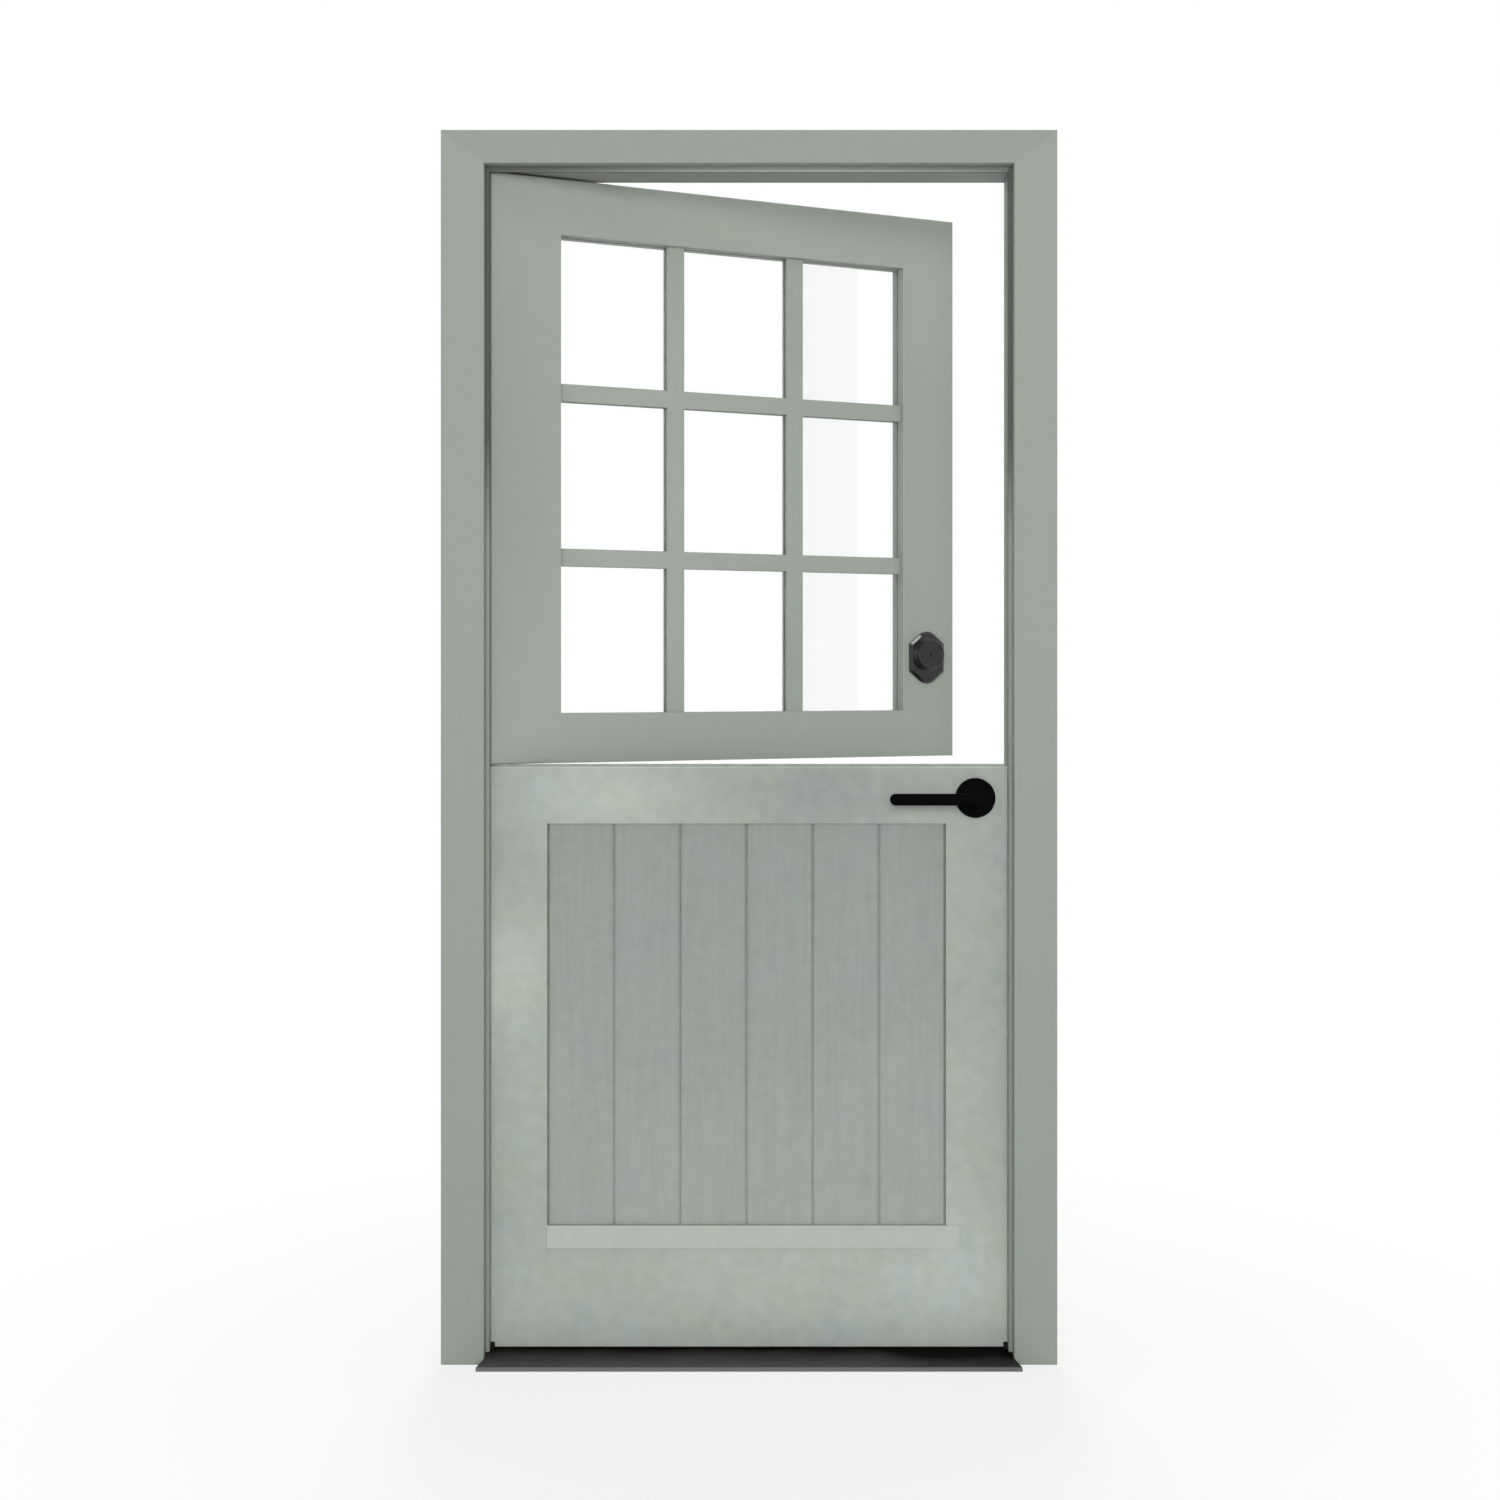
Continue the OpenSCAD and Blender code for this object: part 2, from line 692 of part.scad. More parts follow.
module upper_bottom_rail() {
  color(paint) swung() difference() {
    leaf_member(upper_z0, upper_z1, glaze_x0, glaze_x1, upper_z0, glaze_z0);
    glass_rebate();
  }
}

// An upright bar: a nosing between the rails, and a tongue that parts the panes and runs into the rebates.
module upright_bar(i) {
  x0 = pane_x(i) - upright_bar_w;
  color(paint) swung() {
    block([x0, x0 + upright_bar_w], [bar_y0, glass_y0], [glaze_z0, glaze_z1]);
    block(
      [x0 + rebate_w, x0 + upright_bar_w - rebate_w],
      [glass_y0, bar_back_y],
      [glaze_z0 - rebate_w, glaze_z1 + rebate_w]
    );
  }
}

module upright_bar_hinge_side() for (i = [1 : pane_cols - 2]) upright_bar(i);

module upright_bar_lock_side() upright_bar(pane_cols - 1);

// One row of level bars, cut between the upright bars.
module level_bar_row(j) {
  z0 = pane_z(j) - level_bar_h;
  color(paint) swung() for (i = [0 : pane_cols - 1]) {
    block([pane_x(i), pane_x(i) + pane_w], [bar_y0, glass_y0], [z0, z0 + level_bar_h]);
    block(
      [pane_x(i) - rebate_w, pane_x(i) + pane_w + rebate_w],
      [glass_y0, bar_back_y],
      [z0 + rebate_w, z0 + level_bar_h - rebate_w]
    );
  }
}

module level_bars_upper() level_bar_row(pane_rows - 1);

module level_bars_lower() for (j = [1 : pane_rows - 2]) level_bar_row(j);

module glass_panes() {
  out = rebate_w - glass_clear;
  color(clear_glass) swung() for (i = [0 : pane_cols - 1], j = [0 : pane_rows - 1])
    block(
      [pane_x(i) - out, pane_x(i) + pane_w + out],
      [glass_y0, glass_y1],
      [pane_z(j) - out, pane_z(j) + pane_h + out]
    );
}

// A frame of beads holds each pane from the inside.
module pane_beads(x0, z0) {
  x1 = x0 + pane_w;
  z1 = z0 + pane_h;
  out = rebate_w - bead_fit;
  difference() {
    block([x0 - out, x1 + out], [glass_y1, bar_y1], [z0 - out, z1 + out]);
    block([x0, x1], [glass_y1 - cut, bar_y1 + cut], [z0, z1]);
  }
}

// The beads along the stiles and rails are thicker and reach nearly to the leaf's inner face.
module outer_beads() {
  difference() {
    block(
      [glaze_x0 - rebate_w, glaze_x1 + rebate_w],
      [bar_y1, leaf_y1 - bead_inset],
      [glaze_z0 - rebate_w, glaze_z1 + rebate_w]
    );
    block([glaze_x0, glaze_x1], [bar_y1 - cut, leaf_y1 + cut], [glaze_z0, glaze_z1]);
  }
}

module glazing_beads() {
  color(paint) swung() {
    for (i = [0 : pane_cols - 1], j = [0 : pane_rows - 1]) pane_beads(pane_x(i), pane_z(j));
    outer_beads();
  }
}

// The meeting seal stands on the lower leaf's top edge.
module meeting_seal() {
  color(paint)
    block(
      [leaf_x0 + sweep_inset, leaf_x1 - sweep_inset],
      about(leaf_yc, 2 * sweep_inset),
      [lower_z1, upper_z0 - end_clear]
    );
}

module panel_groove() {
  block(
    [panel_x0 - groove_d, panel_x1 + groove_d],
    about(leaf_yc, groove_w),
    [panel_z0 - groove_d, panel_z1 + groove_d]
  );
}

module lower_hinge_stile() {
  color(paint) difference() {
    leaf_member(lower_z0, lower_z1, leaf_x0, panel_x0, lower_z0, lower_z1);
    panel_groove();
    leaf_hinge_mortises(lower_hinges);
  }
}

module lower_lock_stile() {
  color(paint) difference() {
    leaf_member(lower_z0, lower_z1, panel_x1, leaf_x1, lower_z0, lower_z1);
    panel_groove();
    lock_cuts(lever_z);
  }
}

module lower_top_rail() {
  color(paint) difference() {
    leaf_member(lower_z0, lower_z1, panel_x0, panel_x1, panel_z1, lower_z1);
    panel_groove();
  }
}

module lower_bottom_rail() {
  color(paint) difference() {
    leaf_member(lower_z0, lower_z1, panel_x0, panel_x1, lower_z0, panel_z0);
    panel_groove();
  }
}

// A board's section: vee edges on both faces, a tongue on the lock side and a groove on the hinge side.
// The first and last boards have a thicker tongue for the stile's groove.
module board(n) {
  first = n == 1;
  last = n == board_count;
  left = panel_x0 + (n - 1) * board_pitch + board_gap / 2;
  right = panel_x0 + n * board_pitch - board_gap / 2;
  right_l = last ? edge_tongue_l : tongue_l;
  right_t = last ? edge_tongue_t : tongue_t;
  left_l = first ? -edge_tongue_l : tongue_l + tongue_play;
  left_t = first ? edge_tongue_t : tongue_t + tongue_play;
  v = board_vee;
  z0 = panel_z0 - edge_tongue_l;
  z1 = panel_z1 + edge_tongue_l;
  end_h = edge_tongue_l + board_gap / 2;
  color(boards_paint) difference() {
    translate([0, 0, z0]) linear_extrude(z1 - z0) polygon([
      [left + v, board_y0], [right - v, board_y0], [right, board_y0 + v],
      [right, leaf_yc - right_t / 2], [right + right_l, leaf_yc - right_t / 2],
      [right + right_l, leaf_yc + right_t / 2], [right, leaf_yc + right_t / 2],
      [right, board_y1 - v], [right - v, board_y1], [left + v, board_y1], [left, board_y1 - v],
      [left, leaf_yc + left_t / 2], [left + left_l, leaf_yc + left_t / 2],
      [left + left_l, leaf_yc - left_t / 2], [left, leaf_yc - left_t / 2],
      [left, board_y0 + v]
    ]);
    for (y = [leaf_y0, leaf_yc + edge_tongue_t / 2], z = [z0 - cut, panel_z1 - board_gap / 2])
      translate([left - 2 * groove_d, y, z])
        cube([board_pitch + 4 * groove_d, (leaf_t - edge_tongue_t) / 2, end_h + cut]);
  }
}

module board_1() board(1);
module board_2() board(2);
module board_3() board(3);
module board_4() board(4);
module board_5() board(5);
module board_6() for (n = [6 : board_count]) board(n);

module boards_sill_bar() {
  color(paint) along_x(panel_x0, panel_x1 - panel_x0 + sill_bar_run) polygon([
    [leaf_y0, panel_z0 - sill_bar_h], [leaf_y0 - sill_bar_foot, panel_z0 - sill_bar_h],
    [leaf_y0 - sill_bar_top, panel_z0], [leaf_y0, panel_z0]
  ]);
}

module bottom_sweep() {
  color(rubber_grey)
    block(
      [leaf_x0 + sweep_inset, leaf_x1 - sweep_inset],
      [leaf_y0 + sweep_inset, leaf_y1 - sweep_inset],
      [lower_z0 - sill_gap + end_clear, lower_z0]
    );
}

// Locks

// A bolt's case: a tube in the stile with its faceplate, a channel for the bolt and a hole for the hub.
module bolt_case(z) {
  case_x0 = lock_x - case_back;
  difference() {
    union() {
      translate([case_x0, leaf_yc, z]) rotate([0, 90, 0])
        cylinder(h = leaf_x1 - plate_t / 2 - case_x0, r = case_r);
      block([leaf_x1 - plate_t, leaf_x1], about(leaf_yc, face_w), about(z, face_h));
    }
    block(
      [bolt_back_x, leaf_x1 + cut],
      about(leaf_yc, bolt_w + 2 * bolt_play),
      about(z, bolt_h + 2 * bolt_play)
    );
    translate([lock_x, leaf_yc - case_r - cut, z]) rotate([-90, 0, 0])
      cylinder(h = 2 * (case_r + cut), r = hub_r);
    for (dz = [-1, 1])
      translate([leaf_x1, leaf_yc, z + dz * (face_h / 2 - screw_edge)])
        rotate([0, -90, 0]) cylinder(h = plate_t, r1 = screw_head_r, r2 = screw_r);
  }
}

module latch_case() color(steel) bolt_case(lever_z);

module deadbolt_case() color(steel) swung() bolt_case(deadbolt_z);

// The latch bolt, bevelled on the side that meets the strike as the leaf closes.
module latch_bolt() {
  x0 = bolt_back_x + latch_throw + bolt_play;
  x1 = leaf_x1 + latch_throw;
  bevel = latch_throw - 2;
  color(steel) translate([0, 0, lever_z - bolt_h / 2]) linear_extrude(bolt_h) polygon([
    [x0, leaf_yc - bolt_w / 2], [x1 - bevel, leaf_yc - bolt_w / 2], [x1, leaf_yc + bolt_w / 2 - 2],
    [x1, leaf_yc + bolt_w / 2], [x0, leaf_yc + bolt_w / 2]
  ]);
}

module deadbolt_bolt() {
  color(steel) swung() block(
    [bolt_back_x + bolt_play, leaf_x1 - bolt_play],
    about(leaf_yc, bolt_w),
    about(deadbolt_z, bolt_h)
  );
}

module strike(z) {
  difference() {
    block([half_w, half_w + plate_t], about(leaf_yc, strike_w), about(z, strike_h));
    block(
      [half_w - cut, half_w + plate_t + cut],
      about(leaf_yc, bolt_w + 2 * strike_room),
      about(z, bolt_h + 2 * strike_room)
    );
    for (dz = [-1, 1])
      translate([half_w, leaf_yc, z + dz * (strike_h / 2 - 2 * screw_head_r)])
        rotate([0, 90, 0]) cylinder(h = plate_t, r1 = screw_head_r, r2 = screw_r);
  }
}

module latch_strike() color(steel) strike(lever_z);

module deadbolt_strike() color(steel) strike(deadbolt_z);

module rose() {
  outwards(lock_x, lever_z) rotate_extrude() polygon([
    [neck_r + run_clear, 0], [rose_r, 0], [rose_r, rose_t - lock_arris],
    [rose_r - lock_arris, rose_t], [neck_r + run_clear, rose_t]
  ]);
}

module rose_outside() color(black) rose();

module rose_inside() color(black) to_inner_face() rose();

module lever_end() {
  rotate_extrude() polygon([
    [0, lever_reach - lever_bar_t], [lever_bar_h / 2 - lock_arris, lever_reach - lever_bar_t],
    [lever_bar_h / 2, lever_reach - lever_bar_t + lock_arris], [lever_bar_h / 2, lever_reach - lock_arris],
    [lever_bar_h / 2 - lock_arris, lever_reach], [0, lever_reach]
  ]);
}

// A lever: a neck that turns in the rose, and a straight bar with round ends that points to the hinge side.
module lever() {
  tip_x = lock_x - lever_l + lever_bar_h / 2;
  neck_foot = 5;
  socket_w = spindle_w + 2 * run_clear;
  socket_d = 22;
  difference() {
    union() {
      outwards(lock_x, lever_z) translate([0, 0, -neck_foot])
        cylinder(h = lever_reach - lever_bar_t + neck_foot + cut, r = neck_r);
      outwards(tip_x, lever_z) lever_end();
      outwards(lock_x, lever_z) lever_end();
      along_x(tip_x, lock_x - tip_x) chamfered(
        [leaf_y0 - lever_reach, lever_z - lever_bar_h / 2],
        [leaf_y0 - lever_reach + lever_bar_t, lever_z + lever_bar_h / 2], lock_arris
      );
    }
    outwards(lock_x, lever_z) translate([-socket_w / 2, -socket_w / 2, -neck_foot - cut])
      cube([socket_w, socket_w, socket_d + neck_foot + cut]);
  }
}

module lever_outside() color(black) lever();

module lever_inside() color(black) to_inner_face() lever();

module spindle() {
  reach = 21;
  color(steel) block(
    about(lock_x, spindle_w),
    [leaf_y0 - reach, leaf_y1 + reach],
    about(lever_z, spindle_w)
  );
}

// The escutcheon's outline: upright sides, slanted shoulders and a rounded tip at each end.
module escutcheon_outline(inset) {
  w = escutcheon_w / 2 - inset;
  side = escutcheon_side / 2 - inset * tan(escutcheon_slant / 2);
  tip = side + w * tan(escutcheon_slant);
  round_r = escutcheon_tip_r - inset;
  round_z = tip - round_r / cos(escutcheon_slant);
  flat_x = round_r * sin(escutcheon_slant);
  flat_z = round_z + round_r * cos(escutcheon_slant);
  polygon([
    [w, -side], [w, side], [flat_x, flat_z], [-flat_x, flat_z],
    [-w, side], [-w, -side], [-flat_x, -flat_z], [flat_x, -flat_z]
  ]);
  for (end = [-1, 1]) translate([0, end * round_z]) circle(r = round_r);
}

module deadbolt_escutcheon() {
  rim_t = escutcheon_t - escutcheon_bevel * 0.7;
  color(black) swung() difference() {
    outwards(lock_x, deadbolt_z - escutcheon_drop) hull() {
      linear_extrude(rim_t) escutcheon_outline(0);
      linear_extrude(escutcheon_t) escutcheon_outline(escutcheon_bevel);
    }
    outwards(lock_x, deadbolt_z) translate([0, 0, -cut])
      cylinder(h = escutcheon_t + 2 * cut, r = plug_r + 4);
  }
}

// The collar: two rings stepped back from the foot, and a drum with a shallow dished face.
module deadbolt_collar() {
  foot_z = escutcheon_t + collar_t * 0.3;
  ring_z = escutcheon_t + collar_t * 0.6;
  face_z = escutcheon_t + collar_t;
  ring_r = collar_r + collar_step;
  foot_r = ring_r + collar_step;
  edge = lock_arris / 2;
  color(black) swung() outwards(lock_x, deadbolt_z) rotate_extrude() polygon([
    [plug_r + run_clear, escutcheon_t], [foot_r, escutcheon_t], [foot_r, foot_z - edge],
    [foot_r - edge, foot_z], [ring_r, foot_z], [ring_r, ring_z - edge], [ring_r - edge, ring_z],
    [collar_r, ring_z], [collar_r, face_z - edge], [collar_r - edge, face_z],
    [collar_r - 4 * edge, face_z], [collar_r - 5 * edge, face_z - edge], [plug_r + run_clear, face_z - edge]
  ]);
}

module key_plug() {
  key_w = 2;
  key_h = 9;
  tip = escutcheon_t + collar_t - lock_arris / 2;
  color(black) swung() outwards(lock_x, deadbolt_z) difference() {
    cylinder(h = tip, r = plug_r);
    translate([-key_w / 2, -key_h / 2, tip / 2]) cube([key_w, key_h, tip]);
  }
}

module thumbturn_plate() {
  color(black) swung() inwards(lock_x, deadbolt_z) rotate_extrude() polygon([
    [plug_r + run_clear, 0], [turn_plate_r, 0], [turn_plate_r, rose_t - lock_arris],
    [turn_plate_r - lock_arris, rose_t], [plug_r + run_clear, rose_t]
  ]);
}

// The thumbturn: a shaft in its plate, a flat grip with round ends and the tailpiece to the bolt's hub.
module thumbturn() {
  grip_r = turn_t / 2;
  color(black) swung() inwards(lock_x, deadbolt_z) {
    cylinder(h = rose_t + end_clear, r = plug_r);
    translate([0, 0, rose_t + end_clear]) linear_extrude(turn_d) union() {
      square([turn_t, turn_h - turn_t], center = true);
      for (end = [-1, 1]) translate([0, end * (turn_h / 2 - grip_r)]) circle(r = grip_r);
      circle(r = plug_r);
    }
    translate([-tail_t / 2, -tail_w / 2, -leaf_t]) cube([tail_t, tail_w, leaf_t]);
  }
}

// Joining bolt

// Two countersunk holes at one height, one at each side of a plate on the inner face.
module joining_screw_holes(z) {
  for (x = about(joining_x, joining_plate_w - 2 * screw_edge))
    translate([x, leaf_y1 + joining_plate_t, z])
      rotate([90, 0, 0]) cylinder(h = joining_plate_t, r1 = screw_head_r, r2 = screw_r);
}

module joining_bolt_plate() {
  color(black) difference() {
    union() {
      block(
        about(joining_x, joining_plate_w),
        [leaf_y1, leaf_y1 + joining_plate_t],
        [joining_z0, joining_z1]
      );
      for (z = [joining_z0, joining_z1 - guide_h])
        block(
          about(joining_x, guide_w),
          [leaf_y1, leaf_y1 + joining_plate_t + guide_d],
          [z, z + guide_h]
        );
    }
    translate([joining_x, rod_y, joining_z0 - cut])
      cylinder(h = joining_z1 - joining_z0 + 2 * cut, r = rod_r + run_clear);
    for (z = [joining_z0 + guide_h / 2, joining_z1 - guide_h / 2]) joining_screw_holes(z);
  }
}

module joining_bolt_rod() {
  knob_l = guide_d;
  color(black) {
    translate([joining_x, rod_y, rod_z0]) cylinder(h = rod_z1 - rod_z0, r = rod_r);
    translate([joining_x, rod_y, knob_z]) rotate([-90, 0, 0]) cylinder(h = knob_l, r = rod_r - cut);
    translate([joining_x, rod_y + knob_l, knob_z]) rotate([-90, 0, 0])
      cylinder(h = rod_r * 1.6, r = rod_r + 2);
  }
}

module joining_keep() {
  keep_z0 = upper_z0 + 5;
  keep_h = rod_throw + 4;
  keep_z1 = keep_z0 + keep_h + guide_h;
  keep_w = guide_w;
  keep_room = 0.4;
  color(black) swung() difference() {
    union() {
      block(
        about(joining_x, joining_plate_w),
        [leaf_y1, leaf_y1 + joining_plate_t],
        [keep_z0, keep_z1]
      );
      block(
        about(joining_x, keep_w),
        [leaf_y1, leaf_y1 + joining_plate_t + guide_d],
        [keep_z0, keep_z0 + keep_h]
      );
    }
    translate([joining_x, rod_y, keep_z0 - cut]) cylinder(h = keep_h + 2 * cut, r = rod_r + keep_room);
    for (z = [keep_z0 + guide_h / 2, keep_z1 - guide_h / 2]) joining_screw_holes(z);
  }
}

hinge_jamb();
lock_jamb();
head_jamb();
casing_left();
casing_right();
casing_head();
stop_hinge_side();
stop_lock_side();
stop_head();
frame_seals();
sill_core();
sill_cap();
sill_riser();
corner_pads();
frame_hinge_plates();
hinge_pins();
latch_strike();
deadbolt_strike();
upper_hinge_stile();
upper_lock_stile();
upper_top_rail();
upper_bottom_rail();
upright_bar_hinge_side();
upright_bar_lock_side();
level_bars_upper();
level_bars_lower();
glass_panes();
glazing_beads();
upper_hinge_plates();
meeting_seal();
deadbolt_escutcheon();
deadbolt_collar();
key_plug();
deadbolt_case();
deadbolt_bolt();
thumbturn_plate();
thumbturn();
joining_keep();
lower_hinge_stile();
lower_lock_stile();
lower_top_rail();
lower_bottom_rail();
board_1();
board_2();
board_3();
board_4();
board_5();
board_6();
boards_sill_bar();
bottom_sweep();
lower_hinge_plates();
rose_outside();
rose_inside();
lever_outside();
lever_inside();
spindle();
latch_case();
latch_bolt();
joining_bolt_plate();
joining_bolt_rod();
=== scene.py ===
"""Looks of a two-part stable door in its frame: paint, glass, hardware, screws, light and camera.

Everything is in metres, in the part's own frame: X from the hinge side to the lock side,
Y inwards through the wall, Z up.
"""

import math

import bpy
from mathutils import Matrix, Vector


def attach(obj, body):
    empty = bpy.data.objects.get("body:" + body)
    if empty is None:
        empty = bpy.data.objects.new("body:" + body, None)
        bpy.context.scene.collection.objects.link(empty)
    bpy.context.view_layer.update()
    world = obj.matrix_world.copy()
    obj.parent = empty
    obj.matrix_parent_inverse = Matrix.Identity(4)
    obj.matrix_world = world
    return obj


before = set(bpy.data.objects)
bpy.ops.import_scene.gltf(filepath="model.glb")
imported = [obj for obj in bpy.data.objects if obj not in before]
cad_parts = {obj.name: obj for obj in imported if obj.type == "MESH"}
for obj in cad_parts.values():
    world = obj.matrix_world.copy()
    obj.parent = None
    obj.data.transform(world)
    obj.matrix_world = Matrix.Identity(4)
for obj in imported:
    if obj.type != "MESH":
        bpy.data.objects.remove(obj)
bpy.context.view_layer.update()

# Where the upper leaf stands, and the hinge line that both leaves swing on.
UPPER_OPEN = math.radians(24)
HINGE_LINE = Vector((-0.469, 0.074, 0.0))
# Heights of the hinges, faces that carry screws, and places of the locks and the joining bolt.
UPPER_HINGES = (1.161, 1.875)
LOWER_HINGES = (0.2065, 0.897)
HINGE_JAMB_FACE = -0.4755
LOCK_JAMB_FACE = 0.4565
LEAF_HINGE_EDGE = -0.4725
LEAF_LOCK_EDGE = 0.4535
LEAF_MIDDLE = 0.0435
LEVER_HEIGHT = 0.973
DEADBOLT_HEIGHT = 1.226
JOINING_MIDDLE = 0.230
JOINING_FACE = 0.0685
JOINING_ROWS = (0.940, 1.015)
KEEP_ROWS = (1.043, 1.071)

# Colours as they are seen on the object, in sRGB steps of 255.
FRAME_GREEN = (148, 155, 146)
# Painted shade: the head jamb and head casing get a darker copy of the frame paint.
HEAD_GREEN_SHADED = (145, 151, 143)
# Painted light: the open upper leaf is painted a little lighter than the lower leaf, to offset the shade it
# stands in.
UPPER_GREEN_LIT = (161, 168, 159)
LOWER_GREEN = (158, 165, 157)
BOARD_GREEN = (142, 148, 141)
PALE_GREEN = (170, 177, 169)
STOP_GREEN = (150, 156, 148)
# Painted light: the head stop is painted lighter than the side stops, for the light on the soffit.
HEAD_STOP_GREEN_LIT = (162, 169, 160)
SEAL_GREEN = (168, 175, 167)
SEAL_GREY = (48, 50, 47)
PAD_BLACK = (16, 16, 16)
SILL_BLACK = (70, 70, 68)
# Painted highlight: the paler colour of the sill's front lip.
SILL_LIP_HIGHLIGHT = (112, 112, 110)
SILL_WOOD = (62, 58, 52)
LEVER_BLACK = (3, 3, 4)
LOCK_BLACK = (20, 20, 20)
PLAIN_STEEL = (176, 174, 168)
DUST_GREY = (120, 118, 110)


def colour(steps):
    """An sRGB colour in steps of 255 as a linear colour for a socket."""
    linear = []
    for step in steps:
        c = step / 255
        linear.append(c / 12.92 if c <= 0.04045 else ((c + 0.055) / 1.055) ** 2.4)
    return (*linear, 1.0)


# Sockets of the colour mix node, which has one set for each kind of data.
MIX_FACTOR, MIX_A, MIX_B, MIX_RESULT = 0, 6, 7, 2


class Wiring:
    """Short calls for building one node tree."""

    def __init__(self, tree):
        self.tree = tree

    def add(self, kind, inputs=None, **settings):
        made = self.tree.nodes.new(kind)
        for key, value in settings.items():
            setattr(made, key, value)
        for key, value in (inputs or {}).items():
            self.feed(made.inputs[key], value)
        return made

    def feed(self, socket, value):
        if isinstance(value, bpy.types.NodeSocket):
            self.tree.links.new(value, socket)
        else:
            socket.default_value = value

    def math(self, operation, a, b=0.0, clamp=False):
        made = self.add("ShaderNodeMath", {0: a, 1: b}, operation=operation, use_clamp=clamp)
        return made.outputs[0]

    def stretch(self, vector, factors):
        made = self.add("ShaderNodeVectorMath", {0: vector, 1: factors}, operation="MULTIPLY")
        return made.outputs[0]

    def noise(self, vector, scale, detail=3.0, roughness=0.5, distortion=0.0):
        inputs = {
            "Vector": vector, "Scale": scale, "Detail": detail, "Roughness": roughness,
            "Distortion": distortion,
        }
        return self.add("ShaderNodeTexNoise", inputs).outputs["Fac"]

    def spread(self, value, low, high, out_low=0.0, out_high=1.0):
        inputs = {"Value": value, "From Min": low, "From Max": high, "To Min": out_low, "To Max": out_high}
        return self.add("ShaderNodeMapRange", inputs, clamp=True).outputs["Result"]

    def mix(self, factor, a, b, blend="MIX"):
        inputs = {MIX_FACTOR: factor, MIX_A: a, MIX_B: b}
        return self.add("ShaderNodeMix", inputs, data_type="RGBA", blend_type=blend).outputs[MIX_RESULT]

    def brighten(self, base, value):
        return self.add("ShaderNodeHueSaturation", {"Color": base, "Value": value}).outputs["Color"]


def shader_group(name, inputs, outputs):
    """A new shader node group with named sockets; gives its wiring, its inputs and its output node."""
    tree = bpy.data.node_groups.new(name, "ShaderNodeTree")
    for label, kind, default in inputs:
        socket = tree.interface.new_socket(label, in_out="INPUT", socket_type=kind)
        if default is not None:
            socket.default_value = default
    for label, kind in outputs:
        tree.interface.new_socket(label, in_out="OUTPUT", socket_type=kind)
    w = Wiring(tree)
    return tree, w, w.add("NodeGroupInput").outputs, w.add("NodeGroupOutput")


FLOAT, COLOUR, VECTOR = "NodeSocketFloat", "NodeSocketColor", "NodeSocketVector"


def edges_group():
    """Rounds sharp edges for the light; finds chamfers, arrises, creases and the faces that look out.

    Swing is how far the piece is turned about Z from being square to its own axes.
    """
    tree, w, given, out = shader_group(
        "soft edges",
        [("Radius", FLOAT, 0.0005), ("Reach", FLOAT, 0.03), ("Swing", FLOAT, 0.0)],
        [("Normal", VECTOR), ("Arris", FLOAT), ("Chamfer", FLOAT), ("Crease", FLOAT), ("Front", FLOAT)],
    )
    rounded = w.add("ShaderNodeBevel", {"Radius": given["Radius"]}, samples=4).outputs["Normal"]
    flat = w.add("ShaderNodeNewGeometry").outputs["Normal"]
    agree = w.add("ShaderNodeVectorMath", {0: rounded, 1: flat}, operation="DOT_PRODUCT").outputs["Value"]
    own = w.add(
        "ShaderNodeVectorTransform", {"Vector": flat},
        vector_type="NORMAL", convert_from="WORLD", convert_to="OBJECT",
    ).outputs[0]
    back = w.math("MULTIPLY", given["Swing"], -1.0)
    square = w.add(
        "ShaderNodeVectorRotate", {"Vector": own, "Angle": back}, rotation_type="Z_AXIS",
    ).outputs[0]
    outward = w.add("ShaderNodeSeparateXYZ", {"Vector": square}).outputs["Y"]
    upright = w.add("ShaderNodeVectorMath", {0: square}, operation="ABSOLUTE").outputs[0]
    parts = w.add("ShaderNodeSeparateXYZ", {"Vector": upright}).outputs
    facing = w.math("MAXIMUM", parts["X"], w.math("MAXIMUM", parts["Y"], parts["Z"]))
    open_sky = w.add("ShaderNodeAmbientOcclusion", {"Distance": given["Reach"]}, samples=6).outputs["AO"]
    w.feed(out.inputs["Normal"], rounded)
    w.feed(out.inputs["Arris"], w.spread(agree, 0.995, 0.86))
    w.feed(out.inputs["Chamfer"], w.spread(facing, 0.95, 0.8))
    w.feed(out.inputs["Crease"], w.spread(open_sky, 0.75, 0.2))
    w.feed(out.inputs["Front"], w.spread(outward, -0.4, -0.7))
    return tree


# Depths between which painted shade darkens the sill towards the leaves, and between which its lip gets a
# painted highlight.
SILL_SHADE_DEPTHS = (-0.045, 0.022)
SILL_LIP = (-0.0495, -0.0512)
# Places across between which painted shade darkens it towards the lock side, and how much darker that makes
# it.
SILL_SHADE_ACROSS = (0.22, 0.31)
SILL_SHADE_AT_LOCK_END = 0.5
# Mirror strength of the sill without and with its painted shade, and what the painted shade leaves of its
# colour.
SILL_SPECULAR = (0.24, 0.02)
SILL_SHADE_TINT = (0.05, 0.05, 0.05, 1.0)
# The paint is made lighter towards the foot of the lower leaf, between these heights,
# and painted shade darkens the reveals towards the head, between the head shade heights.
LIGHTER_FOOT_HEIGHTS = (0.95, 0.12)
HEAD_SHADE_HEIGHTS = (1.42, 1.60)
